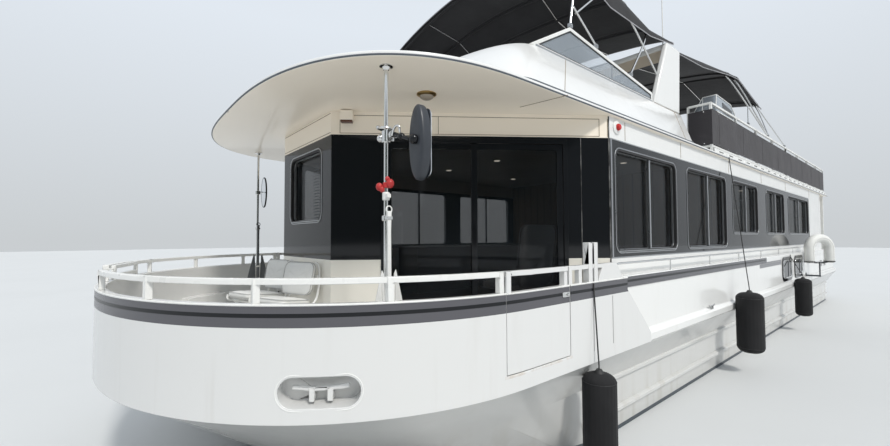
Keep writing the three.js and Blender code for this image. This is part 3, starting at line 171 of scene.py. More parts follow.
class Paint(Nodes):
    """A material: a base colour that zones and mottling change, with wear and bump."""

    def __init__(self, name, color, rough=0.4, metal=0.0, **sockets):
        self.material = bpy.data.materials.new(name)
        self.material.use_nodes = True
        super().__init__(self.material.node_tree)
        self.shader = self.tree.nodes["Principled BSDF"].inputs
        named = {key.replace("_", " "): value for key, value in sockets.items()}
        self.put(self.shader, {"Metallic": metal, **named})
        self.place = self.add("TexCoord")["Object"]
        self.x, self.y, self.z = self.add("SeparateXYZ", {0: self.place})
        self.color = (*color, 1.0)
        self.rough = rough
        self.height = None

    def above(self, value, limit):
        return self.op("GREATER_THAN", value, limit)

    def below(self, value, limit):
        return self.op("LESS_THAN", value, limit)

    def within(self, value, low, high):
        return self.both(self.above(value, low), self.below(value, high))

    def both(self, mask, *others, kind="MULTIPLY"):
        for other in others:
            mask = self.op(kind, mask, other)
        return mask

    def either(self, *masks):
        return self.both(*masks, kind="MAXIMUM")

    def noise(self, scale, detail=3.0, stretch=(1, 1, 1)):
        place = self.add("Mapping", {"Vector": self.place, "Scale": stretch})[0]
        return self.add("TexNoise", {"Vector": place, "Scale": scale, "Detail": detail})["Fac"]

    def tint(self, mask, amount, color):
        self.color = self.mix(self.op("MULTIPLY", mask, amount), self.color, (*color, 1.0))

    def zone(self, mask, color, rough):
        self.color = self.mix(mask, self.color, (*color, 1.0))
        self.rough = self.mix(mask, self.rough, rough, "FLOAT")

    def dull(self, mask, gloss):
        """No clear coat, and less gloss, where the mask is."""
        coat = self.mix(mask, CLEAR_COAT, 0.0, "FLOAT")
        shine = self.mix(mask, 0.5, gloss, "FLOAT")
        self.put(self.shader, {"Coat Weight": coat, "Specular IOR Level": shine})

    def mottle(self, scale, amount, tint, stretch=(1, 1, 1), low=0.42, high=0.72):
        self.tint(self.ramp(self.noise(scale, 4.0, stretch), low, high), amount, tint)

    def wear(self, scale, amount):
        """Roughness that wanders about its value."""
        swing = self.op("MULTIPLY", self.op("SUBTRACT", self.noise(scale), 0.5), amount)
        self.rough = self.op("ADD", self.rough, swing, clamp=True)

    def bump(self, value, strength, distance):
        values = {"Strength": strength, "Distance": distance, "Height": value}
        if self.height is not None:
            values["Normal"] = self.height
        self.height = self.add("Bump", values)["Normal"]

    def done(self):
        self.put(self.shader, {"Base Color": self.color, "Roughness": self.rough})
        if self.height is not None:
            self.put(self.shader, {"Normal": self.height})
        return self.material


WHITE = (0.81, 0.81, 0.795)
# The bulwark's and the hull's whites are the white gelcoat darkened with painted shade
BULWARK_SHADED_WHITE = (0.72, 0.72, 0.71)
HULL_SHADED_WHITE = (0.60, 0.60, 0.585)
# Painted warm bounce light: white gelcoat in the shade of the brow, given a warm cream
BOUNCE_LIT_CREAM = (0.95, 0.86, 0.73)
# Painted warm bounce light on the white lower wall of the forward faces
WALL_BOUNCE_CREAM = (0.84, 0.81, 0.73)
STRIPE_GREY = (0.105, 0.104, 0.115)
BLACK = (0.010, 0.011, 0.013)
GRIME = (0.36, 0.31, 0.24)
RUST = (0.42, 0.25, 0.10)
# Bottom paint below the waterline; its strip above the waterline is painted shade along the water
BOTTOM_PAINT = (0.03, 0.045, 0.06)
BOTTOM_PAINT_AND_SHADE_TOP = 0.045
NON_SLIP = (0.72, 0.72, 0.70)
INSIDE_WALL = (0.45, 0.40, 0.33)
CLEAR_COAT = 0.4


def gelcoat(name, color=WHITE, rough=0.22):
    paint = Paint(name, color, rough, Coat_Weight=CLEAR_COAT, Coat_Roughness=0.08)
    paint.mottle(0.7, 0.12, (0.62, 0.62, 0.60))
    paint.mottle(9.0, 0.07, GRIME, (1, 1, 0.12), 0.55, 0.85)
    paint.wear(3.0, 0.12)
    paint.bump(paint.noise(1.3), 0.12, 0.004)
    return paint


def stripes(paint, outside, low=1.512, high=1.641, last=9.0):
    """The double grey stripe with its black line, on the outside of the bulwark."""
    here = paint.both(outside, paint.below(paint.y, last))
    band = paint.both(here, paint.within(paint.z, low, high))
    paint.zone(band, STRIPE_GREY, 0.25)
    paint.dull(band, 0.3)
    line = low + 0.47 * (high - low)
    paint.zone(paint.both(here, paint.within(paint.z, line, line + 0.025)), BLACK, 0.3)


def bulwark_material():
    # Painted shade: a darker white than the cabin's gelcoat
    paint = gelcoat("bulwark_gelcoat", BULWARK_SHADED_WHITE)
    # Out of the bow's rear centre, and straight outboard behind it
    aft = paint.op("MINIMUM", paint.op("ADD", paint.y, -BOW_REAR), 0.0)
    outward = paint.add("CombineXYZ", {0: paint.x, 1: aft})[0]
    outside = paint.above(paint.dot(paint.add("TexCoord")["Normal"], outward), 0.2)
    sill = paint.both(paint.within(paint.z, GATE_SILL, GATE_SILL + 0.022),
                      paint.within(paint.y, GATE_FRONT - 0.02, GATE_BACK + 0.02))
    stain = paint.ramp(paint.noise(14.0, 4.0, (1, 1, 0.2)), 0.35, 0.65)
    paint.tint(paint.both(outside, sill, stain), 0.3, RUST)
    drip = paint.ramp(paint.noise(11.0, 4.0, (1, 1, 0.05)), 0.62, 0.8)
    paint.tint(paint.both(outside, drip, paint.ramp(paint.z, 1.5, 1.1)), 0.1, GRIME)
    stripes(paint, outside)
    return paint.done()


def side_deck_material():
    paint = gelcoat("side_deck_gelcoat")
    wide = paint.above(paint.op("ABSOLUTE", paint.x), HALF_WAIST - 0.01)
    stripes(paint, wide, 1.535, 1.641, last=0.16)
    lower = paint.both(wide, paint.within(paint.y, -0.34, 1.33), paint.within(paint.z, 1.46, 1.56))
    paint.zone(lower, STRIPE_GREY, 0.3)
    return paint.done()


def cabin_material():
    paint = gelcoat("cabin_gelcoat")
    edge = paint.op("ABSOLUTE", paint.x)
    side = paint.above(edge, HALF_CABIN - 0.02)
    mirrored = paint.add("CombineXYZ", {0: edge, 1: paint.y, 2: paint.z})[0]
    facet = paint.above(paint.dot(mirrored, FACET_OUT), FACET_OUT.dot(FACET_START) - 0.02)
    front = paint.below(paint.y, FACET_START.y + 0.02)
    outside = paint.both(paint.either(side, facet, front), paint.below(paint.y, BAND_AFT))
    inside = paint.op("SUBTRACT", 1.0, paint.either(side, facet, front, paint.above(paint.y, PANEL_AFT)))
    band = paint.both(outside, paint.within(paint.z, BAND_LOW, BAND_HIGH))
    paint.zone(inside, INSIDE_WALL, 0.6)
    ahead = paint.both(paint.either(facet, front), paint.below(paint.y, FACET_END.y))
    # Painted warm bounce light: the header above the black band on the forward faces
    paint.zone(paint.both(ahead, paint.above(paint.z, BAND_HIGH)), BOUNCE_LIT_CREAM, 0.35)
    # Painted warm bounce light: the lower wall of the forward faces, white gelcoat like the sides
    paint.zone(paint.both(ahead, paint.below(paint.z, BAND_LOW)), WALL_BOUNCE_CREAM, 0.35)
    paint.zone(band, BLACK, 0.06)
    paint.dull(band, 0.35)
    return paint.done()


def roof_material():
    paint = gelcoat("roof_gelcoat")
    # Painted warm bounce light: the underside of the roof
    paint.zone(paint.below(paint.z, WALL_TOP + 0.004), BOUNCE_LIT_CREAM, 0.35)
    edge = paint.below(paint.op("ABSOLUTE", paint.x), HALF_ROOF - 0.12)
    behind = paint.above(paint.y, ROOF_FRONT + 0.5)
    walk = paint.both(edge, behind, paint.above(paint.z, ROOF_TOP - 0.001))
    paint.zone(walk, NON_SLIP, 0.8)
    paint.bump(paint.op("MULTIPLY", paint.noise(420.0), walk), 0.5, 0.0015)
    spots = paint.ramp(paint.noise(26.0, 4.0), 0.68, 0.74)
    rim = paint.within(paint.z, WALL_TOP + 0.01, ROOF_TOP - 0.01)
    paint.tint(paint.both(spots, rim), 0.5, RUST)
    return paint.done()


def hull_material():
    # Painted shade: a darker white than the cabin's gelcoat
    paint = gelcoat("hull_gelcoat", HULL_SHADED_WHITE)
    streaks = paint.ramp(paint.noise(5.0, 5.0, (1, 1, 0.1)), 0.5, 0.75)
    paint.tint(paint.both(streaks, paint.ramp(paint.z, 0.7, 0.1)), 0.4, GRIME)
    # Bottom paint, whose strip above the waterline is painted shade along the water
    paint.zone(paint.below(paint.z, BOTTOM_PAINT_AND_SHADE_TOP), BOTTOM_PAINT, 0.7)
    return paint.done()


def plain(name, color, rough=0.4, metal=0.0, grain=40.0, strength=0.15, tint=None, **sockets):
    paint = Paint(name, color, rough, metal, **sockets)
    paint.mottle(grain / 10, 0.35, tint or tuple(c * 0.7 for c in color))
    paint.wear(grain / 4, 0.15)
    paint.bump(paint.noise(grain), strength, 0.001)
    return paint.done()


def woven(name, color, rough=0.9, pitch=900.0, sheen=0.3):
    paint = Paint(name, color, rough, Sheen_Weight=sheen)
    paint.mottle(2.5, 0.5, tuple(min(1.0, c * 1.7 + 0.01) for c in color), (1, 1, 1), 0.4, 0.8)
    for stretch in ((1, 1, 0.02), (0.02, 0.02, 1)):
        paint.bump(paint.noise(pitch, 1.0, stretch), 0.25, 0.0008)
    paint.bump(paint.noise(7.0, 3.0), 0.5, 0.01)
    return paint.done()


def upholstery(name, color, rough=0.5, grain=260.0):
    """Grained vinyl or leather that creases softly and dulls where it is rubbed."""
    paint = Paint(name, color, rough)
    paint.mottle(6.0, 0.25, tuple(c * 0.82 for c in color), (1, 1, 1), 0.45, 0.8)
    paint.mottle(28.0, 0.12, GRIME, (1, 1, 1), 0.6, 0.85)
    paint.wear(9.0, 0.2)
    paint.bump(paint.noise(grain), 0.3, 0.0006)
    paint.bump(paint.noise(11.0, 3.0, (1, 2.4, 1)), 0.55, 0.006)
    return paint.done()


def boards(name, color, width, rough=0.45):
    """Planks that run fore and aft, with dark joints and long grain."""
    paint = Paint(name, color, rough)
    paint.mottle(3.0, 0.6, tuple(c * 0.6 for c in color), (9, 0.5, 9), 0.35, 0.75)
    share = paint.op("FRACT", paint.op("DIVIDE", paint.x, width))
    paint.zone(paint.below(share, 0.05), tuple(c * 0.15 for c in color), 0.7)
    paint.bump(paint.above(share, 0.05), 0.4, 0.001)
    return paint.done()


def glass(name, color, alpha):
    paint = Paint(name, color, 0.03, Alpha=alpha, Specular_IOR_Level=0.3)
    paint.mottle(1.2, 0.2, (0.05, 0.06, 0.07))
    return paint.done()


LAMPLIGHT = (1.0, 0.92, 0.78)
# A material slot of the frame has the look of the same name
LOOKS = {
    "bulwark": bulwark_material(),
    "side_deck": side_deck_material(),
    "cabin": cabin_material(),
    "roof": roof_material(),
    "hull": hull_material(),
    "gelcoat": gelcoat("white_gelcoat").done(),
    "deck": plain("deck_non_slip", NON_SLIP, 0.75, grain=260.0, strength=0.5),
    "black": plain("black_gloss", BLACK, 0.12, grain=4.0, strength=0.05, Specular_IOR_Level=0.3),
    "glass": glass("tinted_glass", (0.006, 0.008, 0.01), 0.42),
    "clear": glass("clear_screen", (0.5, 0.56, 0.62), 0.38),
    "dark_pane": plain("dark_pane", (0.006, 0.007, 0.009), 0.05, grain=3.0, strength=0.03,
                       Specular_IOR_Level=0.3),
    "mirror": plain("mirror_glass", (0.85, 0.87, 0.9), 0.03, 1.0, grain=2.0, strength=0.0),
    "steel": plain("stainless", (0.74, 0.74, 0.73), 0.16, 1.0, grain=30.0, strength=0.05),
    "alloy": plain("window_alloy", (0.40, 0.41, 0.42), 0.3, 0.9, grain=25.0, strength=0.05),
    "rail": plain("white_rail", (0.82, 0.82, 0.80), 0.28, grain=20.0, strength=0.08,
                  tint=(0.66, 0.65, 0.60)),
    "canvas": woven("charcoal_canvas", (0.012, 0.0115, 0.0135), sheen=0.12),
    "hem": woven("grey_hem", (0.34, 0.34, 0.36)),
    "stitch": woven("canvas_stitch", (0.05, 0.05, 0.055)),
    "cloth": woven("grey_cloth", (0.034, 0.031, 0.035), sheen=0.1),
    "cloth_hem": woven("cloth_hem", (0.04, 0.036, 0.041)),
    "housing": plain("grey_housing", (0.034, 0.039, 0.048), 0.4, grain=200.0, strength=0.3),
    "fender": woven("fender_cover", (0.006, 0.006, 0.007), 0.9, sheen=0.03),
    "rubber": plain("black_rubber", (0.02, 0.02, 0.021), 0.6, grain=60.0, strength=0.2),
    # Also the dark line of painted shadow at the coaming's foot
    "rim_rubber": plain("rim_rubber", (0.10, 0.115, 0.135), 0.5, grain=60.0, strength=0.2),
    "sealant": plain("worn_sealant", (0.02, 0.02, 0.02), 0.7, grain=70.0, strength=0.6,
                     tint=(0.7, 0.7, 0.68)),
    "seam": plain("panel_seam", (0.22, 0.17, 0.11), 0.7, grain=30.0, strength=0.3,
                  tint=(0.42, 0.33, 0.22)),
    "vinyl": upholstery("white_vinyl", (0.74, 0.74, 0.715)),
    "sofa": upholstery("grey_upholstery", (0.33, 0.32, 0.32), 0.7, 500.0),
    "piping": upholstery("piping", (0.42, 0.42, 0.415), 0.55),
    "buoy_cover": upholstery("buoy_cover", (0.76, 0.76, 0.73), 0.55, 400.0),
    "strap": woven("black_webbing", (0.014, 0.014, 0.015)),
    "rope": woven("black_rope", (0.02, 0.02, 0.02), 0.85, 500.0),
    "drape": woven("drape", (0.42, 0.39, 0.34), 0.9, 700.0),
    "bronze": plain("bronze", (0.42, 0.29, 0.12), 0.35, 1.0, grain=25.0),
    # On the starboard anchor this dark grey is partly painted shade
    "iron": plain("galvanised", (0.16, 0.17, 0.18), 0.5, 0.7, grain=35.0),
    "wood": boards("joinery_boards", (0.21, 0.13, 0.07), 0.19),
    "joinery": plain("joinery", (0.10, 0.06, 0.035), 0.4, grain=18.0, tint=(0.12, 0.07, 0.035)),
    "planks": boards("cabin_planks", (0.26, 0.17, 0.10), 0.12),
    "teak": boards("teak", (0.36, 0.25, 0.15), 0.9, 0.7),
    "ceiling": plain("cabin_ceiling", (0.40, 0.37, 0.32), 0.55, grain=12.0, strength=0.1),
    "lining": plain("arch_lining", (0.62, 0.53, 0.42), 0.6, grain=12.0, strength=0.1),
    "blind": plain("blind", (0.30, 0.35, 0.42), 0.6, grain=15.0, strength=0.1),
    "frosted": plain("frosted_glass", (0.34, 0.29, 0.23), 0.35, grain=30.0, strength=0.2),
    # Painted warm bounce light, for fittings on the forward header
    "header_bounce_cream": gelcoat("header_bounce_cream", BOUNCE_LIT_CREAM, 0.3).done(),
    "dark_lens": plain("dark_lens", (0.10, 0.035, 0.02), 0.3, grain=10.0),
    "hood_film": plain("hood_film", (0.42, 0.46, 0.50), 0.22, 0.55, grain=22.0, strength=0.35,
                       tint=(0.16, 0.19, 0.22)),
    "red_lens": plain("red_lens", (0.55, 0.02, 0.02), 0.12, grain=8.0, strength=0.05),
    "green_lens": plain("green_lens", (0.02, 0.32, 0.10), 0.12, grain=8.0, strength=0.05),
    "red_plastic": plain("red_plastic", (0.5, 0.03, 0.03), 0.4, grain=20.0),
    "lamp": plain("downlight", LAMPLIGHT, 0.4, Emission_Color=(*LAMPLIGHT, 1.0), Emission_Strength=0.8),
}
# Nodes whose look isn't the one of their slot, by the start of their names
LOOK_OF_NODE = {
    "hull": "hull", "bow_bulwark": "bulwark", "upper_deck": "roof", "windscreen": "clear",
    "cabin": "cabin", "side_gate": "bulwark", "side_deck": "side_deck",
}
for row in frame["record"]["subparts"]:
    look = row["material_slot"]
    for start, special in LOOK_OF_NODE.items():
        if row["node"].startswith(start):
            look = special
    slots = nodes[row["node"]].data.materials
    slots.clear()
    slots.append(LOOKS[look])


# Mesh building: one Form gathers the shapes of one piece
def turns(count):
    """Angles spread round a full turn."""
    return [2 * pi * k / count for k in range(count)]


def steps(low, high, count):
    return [low + (high - low) * i / count for i in range(count + 1)]


def settle(work, mesh, fold):
    """Smooth faces, with edges left sharp where they fold by more than an angle."""
    for face in work.faces:
        face.smooth = True
    for edge in work.edges:
        edge.smooth = len(edge.link_faces) != 2 or edge.calc_face_angle(0.0) < radians(fold)
    work.to_mesh(mesh)
    work.free()


def round_edges(piece, width, clamp=True):
    edges = piece.modifiers.new("edges", "BEVEL")
    edges.width = width
    edges.segments = 2
    edges.limit_method = "ANGLE"
    edges.angle_limit = radians(35)
    edges.use_clamp_overlap = clamp


class Form:
    """Vertices and faces of one piece, filled shape by shape."""

    def __init__(self):
        self.verts = []
        self.faces = []

    def skin(self, rings, closed=False):
        """Faces between rings of equal length, with end caps unless the last ring meets the first."""
        base = len(self.verts)
        count = len(rings[0])
        self.verts += [tuple(v) for ring in rings for v in ring]
        for r in range(len(rings) if closed else len(rings) - 1):
            a = base + r * count
            b = base + (r + 1) % len(rings) * count
            for i in range(count):
                j = (i + 1) % count
                self.faces.append((a + i, a + j, b + j, b + i))
        if not closed:
            last = base + (len(rings) - 1) * count
            self.faces += [tuple(range(base, base + count))[::-1], tuple(range(last, last + count))]
        return self

    def tube(self, points, radius, sides=10, closed=False):
        """A round bar along points; radius may change from point to point."""
        points = [Vector(p) for p in points]
        radii = radius if hasattr(radius, "__len__") else [radius] * len(points)
        count = len(points)
        rings = []
        side = None
        for i, point in enumerate(points):
            before = points[i - 1] if i > 0 or closed else point
            after = points[(i + 1) % count] if i < count - 1 or closed else point
            along = (after - before).normalized()
            if side is None:
                side = along.cross(Vector((0, 0, 1)) if abs(along.z) < 0.9 else Vector((1, 0, 0)))
            side = (side - along * side.dot(along)).normalized()
            up = along.cross(side)
            rings.append([point + (side * cos(a) + up * sin(a)) * radii[i] for a in turns(sides)])
        return self.skin(rings, closed)

    def prism(self, outline, place, low, high):
        """A flat outline of (u, v) points, carried from depth low to high by place(u, depth, v)."""
        return self.skin([[place(u, depth, v) for u, v in outline] for depth in (low, high)])

    def ring(self, outer, inner, place, low, high):
        """The band between two outlines of equal length, with depth."""
        bands = ((outer, low), (outer, high), (inner, high), (inner, low))
        return self.skin([[place(u, depth, v) for u, v in outline] for outline, depth in bands], True)

    def box(self, low, high, place=lambda u, depth, v: (u, depth, v)):
        (u0, d0, v0), (u1, d1, v1) = low, high
        return self.prism([(u0, v0), (u1, v0), (u1, v1), (u0, v1)], place, d0, d1)

    def slab(self, centre, half, y0, y1, z0, z1):
        """A box given by the middle and half of its width."""
        return self.box((centre - half, y0, z0), (centre + half, y1, z1))

    def turned(self, profile, centre, axis=(0, 0, 1), sides=32):
        """A turned body: profile rows are radius and height along the axis from the centre."""
        turn = Vector((0, 0, 1)).rotation_difference(Vector(axis))
        middle = Vector(centre)
        return self.skin([[middle + turn @ Vector((radius * cos(a), radius * sin(a), height))
                           for a in turns(sides)] for radius, height in profile])

    def build(self, name, look, body="boat", bevel=0.0, smooth=40.0):
        mesh = bpy.data.meshes.new(name)
        mesh.from_pydata(self.verts, [], self.faces)
        work = bmesh.new()
        work.from_mesh(mesh)
        bmesh.ops.recalc_face_normals(work, faces=work.faces)
        settle(work, mesh, smooth)
        mesh.materials.append(LOOKS[look])
        piece = bpy.data.objects.new(name, mesh)
        scene.collection.objects.link(piece)
        if bevel:
            round_edges(piece, bevel)
        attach(piece, body)
        return piece


def rounded(u0, u1, v0, v1, corner, parts=5):
    """A rectangle's outline with round corners."""
    corner = max(0.0005, min(corner, (u1 - u0) / 2, (v1 - v0) / 2))
    left, right, low, high = u0 + corner, u1 - corner, v0 + corner, v1 - corner
    outline = []
    for cu, cv, start in ((right, low, -90), (right, high, 0), (left, high, 90), (left, low, 180)):
        for angle in [radians(start + 90 * k / parts) for k in range(parts + 1)]:
            outline.append((cu + corner * cos(angle), cv + corner * sin(angle)))
    return outline


def opening(u0, u1, v0, v1):
    """The outline of an opening as a function of its inset and the radius of its corners."""
    return lambda inset, corner: rounded(u0 + inset, u1 - inset, v0 + inset, v1 - inset, corner, 8)


# Places: u and v lie in a face, depth goes out of it
def on_side(sign, half=HALF_CABIN):
    return lambda u, depth, v: Vector((sign * (half + depth), u, v))


def on_facet(sign):
    def place(u, depth, v):
        spot = FACET_START + FACET_ALONG * u + FACET_OUT * depth
        return Vector((sign * spot.x, spot.y, v))
    return place


def on_front(u, depth, v):
    return Vector((u, FACET_START.y - depth, v))


def on_back(u, depth, v):
    return Vector((u, CABIN_AFT + depth, v))


def on_level(z):
    return lambda u, depth, v: Vector((u, v, z + depth))


def around(centre):
    return lambda u, depth, v: centre + Vector((u, depth, v))


def plan_point(tip, half, length, power, inset, station):
    """The plan curve of the bow, the brow or the coaming, as in the frame's source."""
    angle = min(1.0, abs(station)) * pi / 2
    x = (half - inset) * sin(angle) ** (2 / power)
    straight = max(0.0, abs(station) - 1)
    y = tip + length - (length - inset) * cos(angle) ** (2 / power) + straight
    return copysign(x, station), y


BOW_CURVE = (BOW_TIP, HALF_DECK, BOW_LENGTH, BOW_POWER)


def bow_point(inset, station):
    return plan_point(*BOW_CURVE, inset, station)


def brow_point(inset, station):
    return plan_point(ROOF_FRONT, HALF_ROOF, BROW_LENGTH, BROW_POWER, inset, station)


# Window trim: columns are name, place, opening (u0, u1, v0, v1), mullions
def window_rows():
    rows = []
    for word, sign in SIDES:
        for number, (*hole, mullion) in enumerate(SIDE_WINDOWS, 1):
            rows.append((f"window_{word}_{number}", on_side(sign), (*hole, WINDOW_TOP), [mullion]))
    for number, (u0, u1) in enumerate(FACET_WINDOWS, 1):
        hole = (u0, u1, FORWARD_SILL, WINDOW_TOP)
        rows.append((f"window_facet_{number}", on_facet(-1), hole, [(u0 + u1) / 2]))
    rows.append(("window_front", on_front, (-0.45, 0.45, 2.22, 2.98), []))
    rows.append(("window_aft", on_back, (-1.9, -0.8, 1.9, 2.9), [-1.35]))
    return rows


def make_windows():
    for name, place, (u0, u1, v0, v1), mullions in window_rows():
        edge = opening(u0, u1, v0, v1)
        corners = Form().ring(edge(-0.002, 0.002), edge(0.006, 0.10), place, -0.03, 0.0006)
        corners.build(f"{name}_corners", "black")
        rubber = Form().ring(edge(-0.001, 0.105), edge(0.024, 0.08), place, -0.03, 0.005)
        rubber.build(f"{name}_rubber", "rubber", bevel=0.002)
        metal = Form().ring(edge(-0.014, 0.115), edge(-0.002, 0.105), place, -0.001, 0.006)
        metal.ring(edge(0.0005, 0.02), edge(0.032, 0.07), place, -0.055, -0.032)
        metal.box((u0 + 0.06, -0.02, v0 + 0.004), (u1 - 0.06, 0.009, v0 + 0.016), place)
        for u in mullions:
            metal.box((u - 0.016, -0.05, v0 + 0.02), (u + 0.016, -0.014, v1 - 0.02), place)
        metal.build(f"{name}_frame", "alloy", bevel=0.002)


# Front door: black frames round real panes
def leaf_ring(form, u0, u1, v0, v1, depth):
    outer = rounded(u0, u1, v0, v1, 0.003)
    inner = rounded(u0 + 0.06, u1 - 0.06, v0 + 0.06, v1 - 0.06, 0.02)
    form.ring(outer, inner, on_facet(1), depth, depth + 0.026)


def make_door():
    place = on_facet(1)
    low, high = DOOR_BOTTOM + 0.001, BAND_HIGH - 0.026
    u0, u1 = DOOR_FROM + 0.001, DOOR_TO - 0.001
    outer = rounded(u0, u1, low, high, 0.004)
    inner = rounded(u0 + 0.045, u1 - 0.045, low + 0.045, high - 0.045, 0.004)
    fixed = Form().ring(outer, inner, place, -0.06, 0.012)
    fixed.box((u0 + 0.02, -0.04, low), (u1 - 0.02, 0.03, low + 0.02), place)
    leaf_ring(fixed, u0 + 0.04, DOOR_MEET + 0.03, low + 0.04, high - 0.04, -0.058)
    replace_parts(fixed.build("door_frame", "black", bevel=0.003), "door_fixed")
    pane = Form().box((u0 + 0.1, -0.049, low + 0.1), (DOOR_MEET - 0.03, -0.041, high - 0.1), place)
    pane.build("door_fixed_pane", "glass")
    # the leaf that slides
    low, high = DOOR_BOTTOM + 0.051, BAND_HIGH - 0.025 - 0.051
    u0, u1 = DOOR_MEET - 0.03, DOOR_TO - 0.051
    grip0, grip1 = DOOR_MEET + 0.002, DOOR_MEET + 0.022
    leaf = Form()
    leaf_ring(leaf, u0, u1, low, high, -0.024)
    leaf.box((grip0, 0.026, 1.98), (grip1, 0.04, 2.2), place)
    for v in (1.98, 2.18):
        leaf.box((grip0, 0.0, v), (grip1, 0.03, v + 0.02), place)
    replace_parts(leaf.build("door_leaf", "black", "leaf_sliding", bevel=0.003), "door_sliding")
    pane = Form().box((u0 + 0.055, -0.015, low + 0.055), (u1 - 0.055, -0.007, high - 0.055), place)
    pane.build("door_leaf_pane", "glass", "leaf_sliding")


# Trim lines, lights and fittings of the cabin. Profile columns: radius, height
LIGHT_BASE = [(0.0, 0.0), (0.072, 0.0), (0.074, 0.010), (0.064, 0.018), (0.0, 0.02)]
LIGHT_DOME = [(0.0, 0.016), (0.036, 0.017), (0.036, 0.035), (0.026, 0.048), (0.0, 0.053)]
DOME_RING = [(0.0, 0.0), (0.085, 0.0), (0.088, -0.01), (0.07, -0.022), (0.06, -0.022), (0.0, -0.02)]
DOME_BOWL = [(0.0, -0.018), (0.062, -0.02), (0.055, -0.038), (0.035, -0.05), (0.0, -0.055)]


def make_cabin_trim():
    seams, trim, header = Form(), Form(), Form()
    for sign in SIGNS:
        side, facet = on_side(sign), on_facet(sign)
        seams.box((2.53, 0.0, 1.06), (2.536, 0.004, BAND_HIGH), facet)
        seams.tube([(sign * (HALF_CABIN + 0.001), -5.452, z) for z in (1.66, 2.4, 3.3)], 0.007, 6)
        seams.box((BAND_AFT - 0.004, 0.0, BAND_LOW), (BAND_AFT + 0.004, 0.004, BAND_HIGH), side)
        trim.box((-5.425, 0.0, BAND_LOW), (-5.395, 0.006, BAND_HIGH), side)
        for v in (BAND_LOW, BAND_HIGH):
            trim.box((-5.43, 0.0, v - 0.006), (BAND_AFT, 0.005, v + 0.006), side)
        for u in (0.082, 1.06, 2.73, 2.82):
            header.box((u, 0.0, BAND_HIGH + 0.012), (u + 0.005, 0.003, 3.27), facet)
        for v in (BAND_HIGH + 0.012, 3.267):
            header.box((0.082, 0.0, v), (2.735, 0.003, v + 0.005), facet)
        for u in (-5.1, -3.55, -1.53, 0.5, 2.6, BAND_AFT + 0.1, 7.1):
            header.box((u, 0.0, BAND_HIGH + 0.02), (u + 0.005, 0.003, 3.3), side)
    for v in (BAND_HIGH + 0.02, 3.288):
        header.box((-0.66, 0.0, v), (0.66, 0.003, v + 0.005), on_front)
    for sign in SIGNS:
        ends = ((sign * x, y, WALL_TOP - 0.001) for x, y in ((1.947, -6.381), (2.433, -6.31)))
        header.tube(ends, 0.003, 6)
    seams.build("band_seams", "sealant")
    trim.build("band_trim", "alloy", bevel=0.001)
    header.build("header_seams", "seam")
    for (word, sign), lens in zip(SIDES, ("red_lens", "green_lens")):
        wall, roof = (sign * HALF_CABIN, -5.29, 3.21), (sign * 1.66, -7.30, WALL_TOP)
        Form().turned(LIGHT_BASE, wall, (sign, 0, 0)).build(f"side_light_base_{word}", "rail")
        Form().turned(LIGHT_DOME, wall, (sign, 0, 0)).build(f"side_light_{word}", lens)
        Form().turned(DOME_RING, roof).build(f"dome_light_ring_{word}", "bronze")
        Form().turned(DOME_BOWL, roof).build(f"dome_light_{word}", "frosted")
    # The box light's housing takes the painted warm bounce light of the header
    lamp = Form().box((0.093, 0.0, 3.205), (0.221, 0.075, 3.30), on_facet(1))
    lamp.build("box_light", "header_bounce_cream", bevel=0.006)
    lens = Form().box((0.101, 0.004, 3.185), (0.213, 0.069, 3.206), on_facet(1))
    lens.build("box_light_lens", "dark_lens", bevel=0.003)


def make_portholes():
    for word, sign in SIDES:
        place = on_side(sign, HALF_WAIST)
        for number, u in enumerate((1.83, 3.01), 1):
            end = f"{word}_{number}"
            edge = opening(u - 0.45, u + 0.45, 1.09, 1.60)
            outer = Form().ring(edge(0, 0.13), edge(0.06, 0.09), place, 0.0, 0.014)
            outer.build(f"portlight_{end}", "black", bevel=0.004)
            rim = Form().ring(edge(0.06, 0.09), edge(0.085, 0.07), place, 0.0, 0.018)
            rim.build(f"portlight_rim_{end}", "steel", bevel=0.003)
            pane = Form().prism(edge(0.085, 0.07), place, 0.001, 0.006)
            pane.build(f"portlight_pane_{end}", "dark_pane")
            bar = Form().box((u + 0.1, 0.006, 1.17), (u + 0.125, 0.016, 1.52), place)
            bar.build(f"portlight_bar_{end}", "alloy", bevel=0.002)


# Trim along the deck edges: cap moulding, handrails, pocket lips, toe rails and rim rubber
RAIL_X = 2.44
RAIL_TOP = 1.772
TOE_X = 2.352
RIM_Z = WALL_TOP + 0.011


